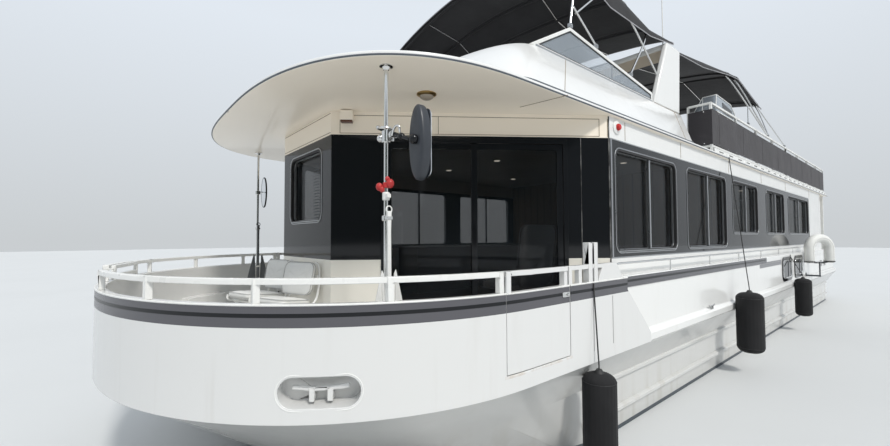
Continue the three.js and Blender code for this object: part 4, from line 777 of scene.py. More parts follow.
def make_deck_trim():
    cap, toe, slots = Form(), Form(), Form()
    reach = 1 + (BULWARK_AFT - BOW_REAR)
    front, back = GATE_FRONT_STATION, GATE_BACK_STATION
    for low, high in ((-reach, -back), (-front, front), (back, reach)):
        cap.tube([(*bow_point(0.003, s), CAP - 0.003) for s in steps(low, high, 70)], 0.007, 8)
    cap.build("bulwark_cap", "rail")
    for word, sign in SIDES:
        x = sign * RAIL_X
        path = [(x, -5.62, 1.655), (x, -5.60, 1.74), (x, -5.54, RAIL_TOP)]
        path += [(x, y, 1.778) for y in steps(-5.45, 5.1, 24)]
        rail = Form().tube([*path, (x, 5.19, RAIL_TOP), (x, 5.25, 1.74), (x, 5.27, 1.655)], 0.012, 10)
        for y in steps(-4.2, 4.0, 6):
            rail.tube([(x, y, 1.652), (x, y, RAIL_TOP)], 0.009, 8)
            rail.turned([(0.0, 0.0), (0.026, 0.0), (0.022, 0.006), (0.0, 0.008)], (x, y, 1.651), sides=14)
        rail.build(f"handrail_{word}", "steel")
        outline = rounded(-0.258, 0.258, 1.0225, 1.2335, 0.105, 9)
        lip = Form().tube([on_bow(sign, u, v, 0.001) for u, v in outline], 0.004, 8, closed=True)
        lip.build(f"pocket_lip_{word}", "rail")
        toe.slab(sign * TOE_X, 0.008, -2.2, 8.26, ROOF_TOP + 0.001, ROOF_TOP + 0.07)
        for y in steps(-2.0, 8.0, 20):
            slots.slab(sign * TOE_X, 0.0095, y, y + 0.20, ROOF_TOP + 0.026, ROOF_TOP + 0.042)
    toe.build("toe_rail", "rail", bevel=0.004)
    slots.build("toe_rail_slots", "rubber", bevel=0.002)
    edge = HALF_ROOF + 0.002
    rim = [(*brow_point(-0.002, s), RIM_Z) for s in steps(-1, 1, 90)]
    rim = Form().tube([(-edge, ROOF_AFT, RIM_Z), *rim, (edge, ROOF_AFT, RIM_Z)], 0.007, 8)
    rim.build("roof_rim_rubber", "rim_rubber")


def on_bow(sign, u, v, inset):
    """The place on the bulwark that lies u along the pocket's own direction from its middle."""
    turn = radians(POCKET_ANGLE)
    along = Vector((cos(turn), sin(turn)))
    low, high = 0.2, 1.0
    # Halving finds the station on the plan curve
    for _ in range(30):
        middle = (low + high) / 2
        if (Vector(bow_point(inset, middle)) - Vector(POCKET_AT)).dot(along) < u:
            low = middle
        else:
            high = middle
    x, y = bow_point(inset, low)
    return Vector((sign * x, y, v))


# Dressed copies: the frame's own shapes with flat faces joined, edges rounded and curves refined
def dress(node, bevel, body="boat", cuts=(), snap=None):
    mesh = nodes[node].data.copy()
    work = bmesh.new()
    work.from_mesh(mesh)
    bmesh.ops.remove_doubles(work, verts=work.verts, dist=0.00002)
    bmesh.ops.dissolve_limit(work, angle_limit=radians(0.8), verts=work.verts, edges=work.edges)
    for origin, normal in cuts:
        geometry = work.verts[:] + work.edges[:] + work.faces[:]
        bmesh.ops.bisect_plane(work, geom=geometry, dist=0.0001, plane_co=origin, plane_no=normal)
    if snap:
        for vert in work.verts:
            vert.co = snap(vert.co)
    settle(work, mesh, 32)
    piece = bpy.data.objects.new(f"{node}_dressed", mesh)
    piece.matrix_world = nodes[node].matrix_world.copy()
    scene.collection.objects.link(piece)
    round_edges(piece, bevel, clamp=False)
    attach(piece, body)
    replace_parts(piece, node)


def bow_cuts(count=12, parts=4):
    """Upright planes that split each straight run of the frame's bow into parts."""
    centre = Vector((0.0, BOW_REAR, 0.0))
    cuts = []
    for i in range(-count, count):
        for k in range(1, parts):
            ray = Vector((*bow_point(0.0, (i + k / parts) / count), 0.0)) - centre
            cuts.append((centre, Vector((ray.y, -ray.x, 0.0)).normalized()))
    return cuts


def bow_snap(insets, reach=0.014):
    """Moves points just inside the bow's curve out onto it."""
    def snap(point):
        if point.y > BOW_REAR:
            return point
        across, ahead = abs(point.x), BOW_REAR - point.y
        for inset in insets:
            shares = (across / (HALF_DECK - inset), ahead / (BOW_LENGTH - inset))
            share = sum(s ** BOW_POWER for s in shares) ** (1 / BOW_POWER)
            if share and -0.001 < (1 - share) * hypot(across, ahead) < reach:
                return Vector((point.x / share, BOW_REAR - ahead / share, point.z))
        return point
    return snap


# Columns: node, rounding of its edges, body it moves with. A star stands for port, then starboard
DRESSED = [
    ("hull", 0.006, "boat"), ("main_deck", 0.003, "boat"), ("bow_gate", 0.003, "gate_bow"),
    ("cabin_front", 0.002, "boat"), ("cabin_corner_*", 0.002, "boat"), ("cabin_side_*", 0.002, "boat"),
    ("cabin_aft", 0.002, "boat"), ("side_deck_*", 0.012, "boat"), ("aft_door", 0.003, "leaf_aft"),
    ("upper_rail", 0.003, "boat"), ("helm_console", 0.006, "boat"), ("aft_post_*", 0.004, "boat"),
    ("swim_platform", 0.012, "boat"), ("shaft_strut_*", 0.003, "boat"), ("propeller_*", 0.002, "screw_*"),
    ("rudder_*", 0.008, "blade_*"), ("saloon_bulkhead", 0.003, "boat"),
]


def dress_frame():
    for node, bevel, body in DRESSED:
        for word, _ in SIDES if "*" in node else SIDES[:1]:
            dress(node.replace("*", word), bevel, body.replace("*", word))
    cuts = bow_cuts()
    bands = bow_snap((0.0, BULWARK))
    dress("bow_bulwark", 0.004, cuts=cuts, snap=bands)
    for word, _ in SIDES:
        dress(f"side_gate_{word}", 0.004, f"gate_{word}", cuts, bands)
        dress(f"bow_rail_{word}", 0.004, cuts=cuts, snap=bow_snap((0.012, 0.058)))
    make_roof()


def make_roof(soft=0.012):
    """The upper deck's slab: sections across from the brow to the stern, with a rounded rim."""
    low, high = WALL_TOP, ROOF_TOP
    levels = [(soft, low), (soft * 0.3, low + soft * 0.3), (0.0, low + soft)]
    levels += [(0.0, high - soft), (soft * 0.3, high - soft * 0.3), (soft, high)]
    tip = ROOF_FRONT + BROW_LENGTH
    spots = [(share * share, 0.0) for share in steps(0.02, 1.0, 70)]
    spots += [(1.0, y - tip) for y in steps(tip, ROOF_AFT, 12)[1:]]
    rings = []
    for station, behind in spots:
        half = [(*brow_point(inset, station), z) for inset, z in levels]
        half = [(x, y + behind, z) for x, y, z in half]
        rings.append([*half, *[(-x, y, z) for x, y, z in reversed(half)]])
    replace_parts(Form().skin(rings).build("roof_slab", "roof", smooth=50), "upper_deck")


# Flybridge: coaming, wing windscreens and arch. The coaming slopes inward from its base to its top
COAMING_FRONT = (-7.25, -6.65)
COAMING_HALF = (2.37, 1.99)
COAMING_END = (-3.15, -2.51)
COAMING_ROUND = 0.6
COAMING_POWER = 3.0
COAMING_WALL = 0.055
COAMING_LOW = 3.3555
COAMING_HIGH = 3.97


def coaming_point(inset, station, z, run=None):
    """A point of the sloping wall. run is the share of the straight side behind the corner."""
    rise = (z - ROOF_TOP) / (COAMING_HIGH - ROOF_TOP)
    slopes = (COAMING_FRONT, COAMING_HALF, COAMING_END)
    front, half, end = (low + (high - low) * rise for low, high in slopes)
    x, y = plan_point(front, half, COAMING_ROUND, COAMING_POWER, inset, station)
    if run is not None:
        y += (end - y) * run
    return Vector((x, y, z))


def make_coaming(lip=0.016):
    wall, low, high = COAMING_WALL, COAMING_LOW, COAMING_HIGH
    section = [(0.0, low), (0.0, (low + high) / 2), (0.0, high - lip), (lip * 0.3, high - lip * 0.3)]
    section += [(lip, high), (wall - lip, high), (wall - lip * 0.3, high - lip * 0.3)]
    section += [(wall, high - lip), (wall, low)]
    rows = [(-1.0, 1 - k / 8) for k in range(8)]
    rows += [(s, None) for s in steps(-1, 1, 90)]
    rows += [(1.0, (k + 1) / 8) for k in range(8)]
    rings = [[coaming_point(inset, s, z, run) for inset, z in section] for s, run in rows]
    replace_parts(Form().skin(rings).build("coaming", "gelcoat", smooth=50), "flybridge_coaming")
    seams = Form()
    for sign in SIGNS:
        for run in (0.11, 0.93):
            path = [coaming_point(-0.001, sign, z, run) for z in steps(low + 0.01, high - 0.01, 4)]
            seams.tube(path, 0.003, 6)
    seams.build("coaming_seams", "seam")
    # A dark line of painted shadow where the coaming's foot meets the roof, in the rim rubber's look
    foot = Form().tube([coaming_point(-0.004, s, low + 0.006, run) for s, run in rows], 0.012, 8)
    foot.build("coaming_foot_shadow_line", "rim_rubber")


WING_X = 1.962
WING = [(-6.25, 3.9703), (-5.54, 4.37), (-3.48, 4.105), (-3.48, 3.9703)]
WING_PANE = [(-6.111, 4.005), (-5.532, 4.331), (-3.515, 4.071), (-3.515, 4.005)]
WING_BEAD = [(-6.075, 4.014), (-5.53, 4.318), (-3.527, 4.061), (-3.527, 4.014)]


def wing_top(y):
    (_, _), (y0, z0), (y1, z1), _ = WING
    return z0 + (z1 - z0) / (y1 - y0) * (y - y0)


def make_wings():
    for word, sign in SIDES:
        place = on_side(sign, WING_X)
        rim = Form().ring(WING, WING_PANE, place, -0.012, 0.012)
        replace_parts(rim.build(f"wing_frame_{word}", "rail", bevel=0.004), f"windscreen_{word}")
        bead = Form().ring(WING_PANE, WING_BEAD, place, -0.009, 0.009)
        bead.build(f"wing_gasket_{word}", "rubber", bevel=0.002)
        sill = Form().box((-6.16, -0.014, 3.972), (-3.49, 0.014, 3.994), place)
        sill.box((-4.62, -0.007, 4.01), (-4.60, 0.007, 4.235), place)
        sill.build(f"wing_sill_{word}", "alloy", bevel=0.002)
        Form().prism(WING_PANE, place, -0.003, 0.003).build(f"wing_pane_{word}", "clear")


ARCH_SIDE = [(-3.44, 3.9703), (-2.52, 3.9703), (-2.45, 5.01), (-2.93, 5.01)]
ARCH_BEAM = [(-2.93, 4.93), (-2.45, 4.93), (-2.45, 5.01), (-2.93, 5.01)]
AERIAL = (1.8, -2.63)
AERIAL_FOOT = [(0.0, 0.0), (0.034, 0.0), (0.034, 0.012), (0.02, 0.02), (0.018, 0.11), (0.0, 0.115)]


def make_arch():
    across = on_side(1, 0)
    arch, seam = Form(), Form()
    for sign in SIGNS:
        arch.prism(ARCH_SIDE, across, sign * 1.905, sign * 1.985)
        seam.slab(sign * 1.9855, 0.001, -3.44, -2.52, 3.968, 3.973)
    arch.prism(ARCH_BEAM, across, -1.91, 1.91)
    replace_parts(arch.build("arch", "gelcoat", bevel=0.022), "radar_arch")
    seam.build("arch_seam", "seam")
    Form().box((-1.88, -2.9, 4.924), (1.88, -2.48, 4.9295)).build("arch_lining", "lining", bevel=0.002)
    Form().turned(AERIAL_FOOT, (*AERIAL, 5.009)).build("aerial_stand", "rail")
    whip = Form().tube([(*AERIAL, z) for z in (5.1, 5.6, 7.29)], [0.009, 0.008, 0.004], 10)
    whip.build("aerial_whip", "rail")


# Canopies. Bow columns: foot x, foot y, foot z, y and z of the shoulders, rise of the crown
BIMINI_HALF = 1.93
TUBE = 0.013
RUNNER_X = 0.9
RUNNER_RISE = 0.78


def on_wing(y):
    return (WING_X, y, wing_top(y) + 0.04)


def on_rail(y):
    return (2.3, y, 4.2)


FORWARD_BOWS = [
    (*on_wing(-5.52), -5.3, 5.34, 0.42), (1.94, -5.37, 4.6, -4.6, 5.29, 0.36),
    (1.945, -3.24, 4.438, -4.2, 5.2, 0.2), (*on_wing(-4.1), -3.45, 5.06, 0.2),
]
AFT_BOWS = [
    (1.945, -2.455, 4.5, -2.35, 5.04, 0.24), (*on_rail(1.32), 0.2, 5.36, 0.24),
    (*on_rail(1.4), 0.76, 5.42, 0.24), (*on_rail(1.48), 2.25, 5.18, 0.24),
]
FORWARD_BRACES = [(on_wing(-4.98), (1.952, -5.456, 4.66))]
AFT_BRACES = [((2.115, 0.76, 4.75), on_rail(-0.06)), ((BIMINI_HALF, 2.24, 5.11), on_rail(2.95)),
              (on_rail(1.32), on_rail(1.48))]
FORWARD_FEET = [(WING_X, y, wing_top(y - 0.03)) for y in (-5.52, -4.98, -4.1)]
AFT_FEET = [(2.3, y, 4.1703) for y in (1.4, -0.06, 2.95)]

# Canvas stations: y, shoulder z, rise of the crown, lower edge z
FORWARD_CANVAS = [
    (-5.34, 5.35, 0.43, 5.15), (-5.3, 5.34, 0.42, 5.13), (-4.6, 5.294, 0.36, 4.943),
    (-4.2, 5.2, 0.2, 4.943), (-3.45, 5.06, 0.2, 4.942), (-2.64, 5.115, 0.2, 5.062),
]
AFT_CANVAS = [
    (-2.42, 5.031, 0.24, 4.978), (-2.35, 5.04, 0.24, 4.987), (-1.3, 5.172, 0.24, 5.062),
    (0.2, 5.36, 0.24, 5.307), (0.76, 5.42, 0.24, 5.367), (2.25, 5.18, 0.24, 5.127),
    (2.55, 5.13, 0.24, 5.077),
]
CANVAS_HALF = BIMINI_HALF + 0.028
CANVAS_THICK = 0.004
CANVAS_GAP = 0.0009
SLEEVE_RISE = 0.008
CANVAS_BEND = 1.78
SEWN_IN = 0.01


def eased(points, rounds=3):
    """Corners cut round after round; the ends stay."""
    points = [Vector(p) for p in points]
    for _ in range(rounds):
        cut = [points[0]]
        for a, b in zip(points, points[1:]):
            cut += [a.lerp(b, 0.25), a.lerp(b, 0.75)]
        points = [*cut, points[-1]]
    return points


def mirror_path(half_path):
    """A path from port to starboard, given from its port end to the middle."""
    return [*half_path, *[Vector((-x, y, z)) for x, y, z in reversed(half_path[:-1])]]


def bow_path(row):
    *foot, y, z, crown = row
    half = [foot, (BIMINI_HALF, y, z - 0.06), (BIMINI_HALF - 0.16, y, z + crown / 4)]
    return eased(mirror_path([*half, (RUNNER_X, y, z + crown * RUNNER_RISE), (0, y, z + crown)]))


def canvas_section(y, z, crown, lower):
    high = z + crown + TUBE + CANVAS_GAP + SLEEVE_RISE
    half = [(CANVAS_HALF, lower), (CANVAS_HALF, high - crown - 0.03)]
    half += [(BIMINI_HALF - 0.15, high - crown * 0.7), (RUNNER_X, high - crown * 0.2), (0, high)]
    return mirror_path([Vector((x, y, up)) for x, up in half])


def canvas_rows(stations, parts=9, sag=0.011):
    """Smooth cross sections along a canopy, drawn in a little between its bows."""
    rows = []
    for first, second in zip(stations, stations[1:]):
        here = parts if second[0] - first[0] > 0.1 else 1
        for k in range(here):
            share = k / here
            drop = Vector((0, 0, sag * sin(pi * share)))
            section = canvas_section(*[a + (b - a) * share for a, b in zip(first, second)])
            rows.append(eased([p - drop if 0.3 < abs(p.x) < 1.9 or not p.x else p for p in section]))
    return [*rows, eased(canvas_section(*stations[-1]))]


def lining_of(p):
    """The place on the canvas's inner face behind a point of its outer face."""
    steep = min(1.0, max(0.0, (abs(p.x) - CANVAS_BEND) / (CANVAS_HALF - CANVAS_BEND)))
    return p + Vector((-copysign(steep, p.x) * CANVAS_THICK, 0, -(1 - steep * 0.9) * CANVAS_THICK))


def measured(rows):
    """The width, length and area of a cloth given by its sections, with a little length sewn in."""
    across = max(sum((b - a).length for a, b in zip(row, row[1:])) for row in rows)
    middle = len(rows[0]) // 2
    along = sum((b[middle] - a[middle]).length for a, b in zip(rows, rows[1:]))
    area = 0.0
    for first, second in zip(rows, rows[1:]):
        for a, b, c, d in zip(first, first[1:], second[1:], second):
            area += ((b - a).cross(c - a).length + (c - a).cross(d - a).length) / 2
    return across, max(along, area / across) + SEWN_IN, area


def make_canopy(word, bows, braces, feet, stations, beyond):
    tubes, pads, sleeves, hems, seams = Form(), Form(), Form(), Form(), Form()
    for row in bows:
        path = bow_path(row)
        tubes.tube(path, TUBE, 12)
        sleeves.tube([p + Vector((0, 0, 0.002)) for p in path if abs(p.x) < 1.9], 0.017, 10)
    runner = [Vector((RUNNER_X, y, z + crown * RUNNER_RISE)) for *_, y, z, crown in bows]
    for sign in SIGNS:
        flip = Matrix.Diagonal((sign, 1, 1))
        tubes.tube([flip @ p for p in [*runner, *beyond]], 0.008, 8)
        for brace in braces:
            tubes.tube([flip @ Vector(p) for p in brace], TUBE - 0.002, 10)
        for x, y, z in feet:
            def place(u, depth, v):
                return Vector((sign * (x + depth), y + u, z + v))
            pads.prism(rounded(-0.03, 0.03, 0.0, 0.05, 0.012), place, -0.016, 0.016)
            pads.turned(pin(0.01, 0.022), place(0, 0, 0.03), (1, 0, 0), 12)
    frame_piece = tubes.build(f"canopy_{word}_tubes", "steel")
    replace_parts(frame_piece, f"bimini_{word}_frame")
    pads.build(f"canopy_{word}_feet", "alloy", bevel=0.002)
    rows = canvas_rows(stations)
    rings = [[*row, *[lining_of(p) for p in reversed(row)]] for row in rows]
    canvas = Form().skin(rings).build(f"canopy_{word}", "canvas", smooth=60)
    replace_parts(canvas, f"bimini_{word}_canvas")
    for row, radius in ((rows[0], 0.006), (rows[-1], 0.010)):
        hems.tube(row, radius, 8)
    for side in (0, -1):
        hems.tube([row[side] for row in rows], 0.006, 8)
    for row in rows:
        for *_, y, _, _ in bows:
            for shift in (-0.045, 0.045) if abs(row[0].y - y) < 0.03 else ():
                seams.tube([p + Vector((0, shift, 0.001)) for p in row[8:-8]], 0.0022, 5)
    hem = hems.build(f"canopy_{word}_hem", "hem")
    seam = seams.build(f"canopy_{word}_seams", "stitch")
    sleeve = sleeves.build(f"canopy_{word}_sleeves", "canvas")
    across, along, area = measured(rows)


# Weather cloth round the upper rail
CLOTH_X = 2.3
CLOTH_FRONT = -2.15
CLOTH_BACK = 8.2
CLOTH_WRAP = 0.32
CLOTH_OFF = 0.0213
EYELET = [(0.0, 0.0), (0.009, 0.0), (0.009, 0.0012), (0.004, 0.002), (0.0, 0.001)]


def cloth_path(spacing=0.11):
    x, front, back = CLOTH_X + CLOTH_OFF, CLOTH_FRONT - CLOTH_OFF, CLOTH_BACK + CLOTH_OFF
    inner = CLOTH_X - CLOTH_WRAP
    corners = [(inner, front), (x, front), (x, back), (-x, back), (-x, front), (-inner, front)]
    corners = [Vector((*corner, 0)) for corner in corners]
    path = []
    for a, b in zip(corners, corners[1:]):
        count = max(2, round((b - a).length / spacing))
        out = (b - a).normalized().cross(Vector((0, 0, 1)))
        path += [(a.lerp(b, k / count), out, k / count) for k in range(count)]
    return [*path, (corners[-1], out, 1.0)]


def make_weather_cloth(low=3.5, high=4.05):
    path = cloth_path()
    rows, travelled, previous = [], 0.0, path[0][0]
    for spot, out, share in path:
        travelled += (spot - previous).length
        previous = spot
        edge = min(1.0, 12 * share, 12 * (1 - share))
        row = []
        # Slow folds with fine creases on them, and none where the cloth is laced
        for k, z in enumerate(steps(low, high, 10)):
            slack = sin(pi * k / 10) * (0.6 + 0.4 * sin(travelled * 1.7))
            fold = 0.003 * sin(travelled * 9.3 + 0.9 * sin(travelled * 2.1) + k * 0.21)
            fold += 0.0015 * sin(travelled * 23.0 - k * 0.5)
            row.append(Vector((spot.x, spot.y, z)) + out * (fold * slack * edge + 0.0012))
        rows.append((row, out))
    rings = [[*row, *[p - out * 0.0016 for p in reversed(row)]] for row, out in rows]
    piece = Form().skin(rings).build("weather_cloth_sewn", "cloth", smooth=60)
    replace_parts(piece, "weather_cloth")
    hems, seams, eyes = Form(), Form(), Form()
    for level in (0, -1):
        hems.tube([row[level] + out * 0.0005 for row, out in rows], 0.0035, 6)
    for number, (row, out) in enumerate(rows):
        if number % 12 == 6:
            seams.tube([p + out * 0.0012 for p in row], 0.002, 5)
        for level, shift in ((0, 0.02), (-1, -0.02)) if number % 4 == 2 else ():
            eyes.turned(EYELET, row[level] + Vector((0, 0, shift)) + out * 0.001, out, 12)
    hem = hems.build("weather_cloth_hems", "cloth_hem")
    seam = seams.build("weather_cloth_seams", "cloth_hem")
    eye = eyes.build("weather_cloth_eyelets", "steel")


# Cushions: pillow forms with crowned faces, pulled-in sides, channels and piping
CHANNEL_DEPTH = 0.22
CHANNEL_WIDTH = 0.011
UNEVEN = 0.012
def cushion(name, place, width, length, thick, look, channels=(), corner=0.06, crown=0.35):
    """A pad on a frame of its own: place(u, v, w) is u across, v along and w up from its middle."""
    rings = []
    count = 11
    outline = rounded(-width / 2, width / 2, -length / 2, length / 2, corner, 8)
    # Rings from the lower face's middle round the soft edge to the upper face's middle
    for level in range(-count, count + 1):
        angle = pi / 2 * level / count
        up = copysign(abs(sin(angle)) ** 0.75, level)
        size = 1 - 0.98 * (1 - abs(cos(angle)) ** 0.42)
        ring = []
        for u, v in [(u * size, v * size) for u, v in outline]:
            dome = (1 - (2 * u / width) ** 2) * (1 - (2 * v / length) ** 2)
            height = thick / 2 * (1 - crown + crown * dome)
            for channel in channels:
                height -= CHANNEL_DEPTH * thick / 2 * exp(-((v - channel) / CHANNEL_WIDTH) ** 2)
            height += UNEVEN * thick * sin(19 * u + 3 * v) * sin(23 * v + 2 * u)
            ring.append(place(u, v, up * height))
        rings.append(ring)
    Form().skin(rings).build(name, look, smooth=75)
    piping = Form()
    for share in (-0.24, 0.24):
        edge = [place(u * 0.992, v * 0.992, share * thick) for u, v in outline]
        piping.tube(edge, 0.0035, 6, closed=True)
    piping.build(f"{name}_piping", "piping")


def lying(x, y, z):
    """A place on a level cushion, from its middle."""
    return lambda u, v, w: Vector((x + u, y + v, z + w))


def leaning(foot, top):
    """A place on a backrest, from the middle of the line between its foot and its top."""
    up = (top - foot).normalized()
    ahead = up.cross(Vector((1, 0, 0)))
    middle = (foot + top) / 2
    return lambda u, v, w: middle + Vector((u, 0, 0)) + up * v + ahead * w


def pin(radius, half):
    """The profile of a plain round pin."""
    return [(0.0, -half), (radius, -half), (radius, half), (0.0, half)]


def chair_paths(depth, deck=DECK + 0.014):
    """The lines of a folding chair's tubes, from the middle of its seat's rear edge."""
    paths = []
    for sign in SIGNS:
        side, inner = sign * 0.222, sign * 0.222 - sign * 0.026
        rail = [(0.03 - depth, 1.44), (0.02 - depth, 1.39), (0.09 - depth, 1.372), (-0.06, 1.365)]
        rail += [(0.07, 1.40), (0.115, 1.56), (0.12, 1.70), (0.10, 1.79)]
        paths.append(eased([*[(side, y, z) for y, z in rail], (side - sign * 0.03, 0.088, 1.80)]))
        paths.append([(side, 0.02, deck), (side, 0.10 - depth, 1.372)])
        paths.append([(inner, 0.02 - depth, deck), (inner, -0.02, 1.40)])
    bars = [(0.222, 0.02 - depth, deck), (0.222, 0.02, deck), (0.215, 0.10 - depth, 1.372)]
    for half, y, z in (*bars, (0.215, -0.03, 1.368), (0.215, 0.104, 1.66)):
        paths.append([(-half, y, z), (half, y, z)])
    return paths


def make_chairs():
    # Columns: name, x and y of the seat's rear edge, its depth, turn to port in degrees
    rows = (("deck_chair_port", 0.30, -7.95, 0.33, 20), ("deck_chair_starboard", -0.35, -7.96, 0.43, 15))
    for name, x, y, depth, turn in rows:
        spin = Matrix.Rotation(radians(turn), 3, "Z")

        def at(point):
            return Vector((x, y, 0)) + spin @ Vector(point)
        tubes, pivots = Form(), Form()
        for path in chair_paths(depth):
            tubes.tube([at(p) for p in path], 0.0115, 10)
        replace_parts(tubes.build(f"{name}_frame", "rail"), name)
        for sign in SIGNS:
            centre = at((sign * 0.209, 0.03 - depth / 2, 1.205))
            pivots.turned(pin(0.014, 0.02), centre, spin @ Vector((1, 0, 0)), 14)
        pivots.build(f"{name}_pivots", "steel")
        run = Vector((0, 1, -0.035 / depth)).normalized()
        rise = Vector((1, 0, 0)).cross(run)

        def seat(u, v, w):
            thicker = 1 + 0.35 * max(0.0, -v / depth)
            return at(Vector((u, 0.02 - depth / 2, 1.428)) + run * v + rise * (w * thicker))
        cushion(f"{name}_seat", seat, 0.43, depth + 0.02, 0.092, "vinyl", (-0.09, 0.0, 0.09))
        foot, top = Vector((0, 0.008, 1.478)), Vector((0, 0.075, 1.80))
        lean = leaning(foot, top)
        cushion(f"{name}_back", lambda u, v, w: at(lean(u, v, w)), 0.43, (top - foot).length, 0.062,
                "vinyl", (-0.07, 0.045), 0.075)


def make_seats():
    base = Form().box((1.505, -4.895, 1.001), (2.195, -2.705, 1.30))
    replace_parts(base.build("settee_base", "joinery", bevel=0.008), "saloon_settee")
    for number, y in enumerate((-4.53, -3.8, -3.07)):
        cushion(f"settee_seat_{number}", lying(1.745, y, 1.362), 0.47, 0.72, 0.13, "sofa")
        cushion(f"settee_back_{number}", lambda u, v, w: Vector((2.085 - w, y + v, 1.60 + u)),
                0.39, 0.72, 0.16, "sofa", (), 0.07)
    base = Form().box((-0.42, -4.7, ROOF_TOP + 0.001), (0.42, -4.25, 3.80))
    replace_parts(base.build("helm_seat_base", "gelcoat", bevel=0.02), "helm_seat")
    for number, x in enumerate((-0.225, 0.225)):
        cushion(f"helm_seat_{number}", lying(x, -4.49, 3.85), 0.44, 0.52, 0.095, "vinyl")
        foot, top = Vector((x, -4.255, 3.90)), Vector((x, -4.165, 4.395))
        cushion(f"helm_back_{number}", leaning(foot, top), 0.44, (top - foot).length, 0.078,
                "vinyl", (-0.12, 0.0, 0.12))


# Poles with their mirrors and anchors
PORT_POLE = (1.93, -7.88)
STARBOARD_POLE = (-1.9, -7.72)
POLES = list(zip(SIDES, (PORT_POLE, STARBOARD_POLE)))
FLANGE = [(0.0, 0.0), (0.05, 0.0), (0.05, 0.006), (0.03, 0.01), (0.021, 0.03), (0.0, 0.03)]


def knob(form, centre, radius, half, axis=(0, 0, 1)):
    """A rounded lump: an ellipsoid turned about its axis."""
    profile = [(radius * sin(a), -half * cos(a)) for a in steps(0.0, pi, 10)]
    return form.turned(profile, centre, axis, 20)


def collar(form, x, y, z, half=0.026, radius=0.036, bevel=0.004):
    inner = radius - bevel
    profile = [(0.0165, -half), (inner, -half), (radius, -half + bevel), (radius, half - bevel)]
    return form.turned([*profile, (inner, half), (0.0165, half)], (x, y, z), sides=24)


def make_poles():
    for (word, _), (x, y) in POLES:
        pole = Form().tube([(x, y, DECK + 0.001), (x, y, WALL_TOP)], 0.016, 20)
        for z, way in ((DECK + 0.0005, 1), (WALL_TOP - 0.0005, -1)):
            pole.turned(FLANGE, (x, y, z), (0, 0, way), 24)
        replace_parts(pole.build(f"pole_{word}_tube", "steel"), f"pole_{word}")
    x, y = PORT_POLE
    clip = collar(Form(), x, y, 2.43, 0.02, 0.024)
    lumps = ((-0.038, -0.012, 0.026), (-0.02, -0.03, 0.02), (0.04, 0.012, 0.030), (0.02, 0.045, 0.018))
    for across, up, size in lumps:
        knob(clip, (x + 0.642 * across, y - 0.012 + 0.767 * across, 2.43 + up), size, size * 1.15)
    clip.build("pole_clip", "red_plastic")
    nut = collar(Form(), x, y, 2.35, 0.03, 0.027)
    nut.box((x, y - 0.02, 2.335), (x + 0.05, y + 0.012, 2.365))
    nut.build("pole_nut", "rail", bevel=0.004)


def mirror_shell(centre, across=0.084, tall=0.262, deep=0.047, power=4.6, levels=14):
    """A rounded plate: an ellipse across and up that bulges fore and aft."""
    rings = []
    for level in range(-levels, levels + 1):
        angle = pi / 2 * level / levels * 0.999
        size = cos(angle) ** (2 / power)
        depth = copysign(abs(sin(angle)) ** (2 / power), level) * deep
        rings.append([centre + Vector((1, 0, 0)) * across * size * cos(turn)
                      + Vector((0, 0, 1)) * tall * size * sin(turn) + Vector((0, 1, 0)) * depth
                      for turn in turns(36)])
    return Form().skin(rings)


def make_mirrors():
    x, y = PORT_POLE
    centre = Vector((2.24, -7.8, 2.7))
    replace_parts(mirror_shell(centre).build("mirror_port_housing", "housing"), "mirror_port")
    outline = rounded(-0.066, 0.066, -0.238, 0.238, 0.05, 8)
    Form().prism(outline, around(centre), 0.042, 0.0475).build("mirror_port_face", "mirror")
    arm = collar(Form(), x, y, 2.785, 0.045, 0.034)
    dish = [(0.0165, -0.008), (0.05, -0.012), (0.062, -0.004), (0.058, 0.006), (0.0165, 0.010)]
    arm.turned(dish, (x, y, 2.845), (0.06, 0.03, 1))
    knob(arm, (x - 0.055, y - 0.03, 2.86), 0.016, 0.024, (-1, -0.4, 0.8))
    knob(arm, (x - 0.03, y - 0.03, 2.775), 0.026, 0.03)
    for reach, low, high in ((0.045, 2.745, 2.825), (0.085, 2.76, 2.80)):
        arm.box((x + reach, y - 0.03, low), (x + reach + 0.018, y + 0.03, high))
    arm.tube([(x + 0.03, y, 2.79), (x + 0.12, y, 2.785)], 0.014, 12)
    hook = [(x + 0.11, y - 0.02, 2.77), (x + 0.14, y - 0.02, 2.83), (x + 0.19, y - 0.01, 2.83)]
    arm.tube(eased([*hook, (x + 0.18, y, 2.78)], 2), 0.009, 10)
    arm.build("mirror_port_arm", "steel", bevel=0.002)
    path = [(x + 0.11, y, 2.785), (x + 0.2, y, 2.75), (centre.x - 0.02, y + 0.01, 2.715)]
    joint = Form().tube(path, 0.016, 12)
    knob(joint, (centre.x + 0.012, centre.y - 0.062, 2.712), 0.034, 0.034)
    knob(joint, (x + 0.2, y, 2.75), 0.026, 0.026)
    joint.build("mirror_port_joint", "black")
    x, y = STARBOARD_POLE
    centre = Vector((-2.09, -7.58, 2.75))
    loop = [centre + Vector((0.115 * cos(a), 0, 0.225 * sin(a))) for a in turns(48)]
    rim = Form().tube(loop, 0.0105, 10, closed=True)
    back = [(0.118 * cos(a), 0.228 * sin(a)) for a in turns(48)]
    rim.prism(back, around(centre), 0.0, 0.012)
    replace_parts(rim.build("mirror_starboard_rim", "black"), "mirror_starboard")
    face = Form().prism([(u * 0.94, v * 0.96) for u, v in back], around(centre), -0.008, 0.001)
    face.build("mirror_starboard_face", "mirror")
    path = [(x - 0.025, y + 0.015, 2.72), (x - 0.07, y + 0.06, 2.74)]
    arm = collar(Form(), x, y, 2.72).tube([*path, (centre.x + 0.06, centre.y + 0.012, 2.745)], 0.011, 12)
    arm.build("mirror_starboard_arm", "steel")


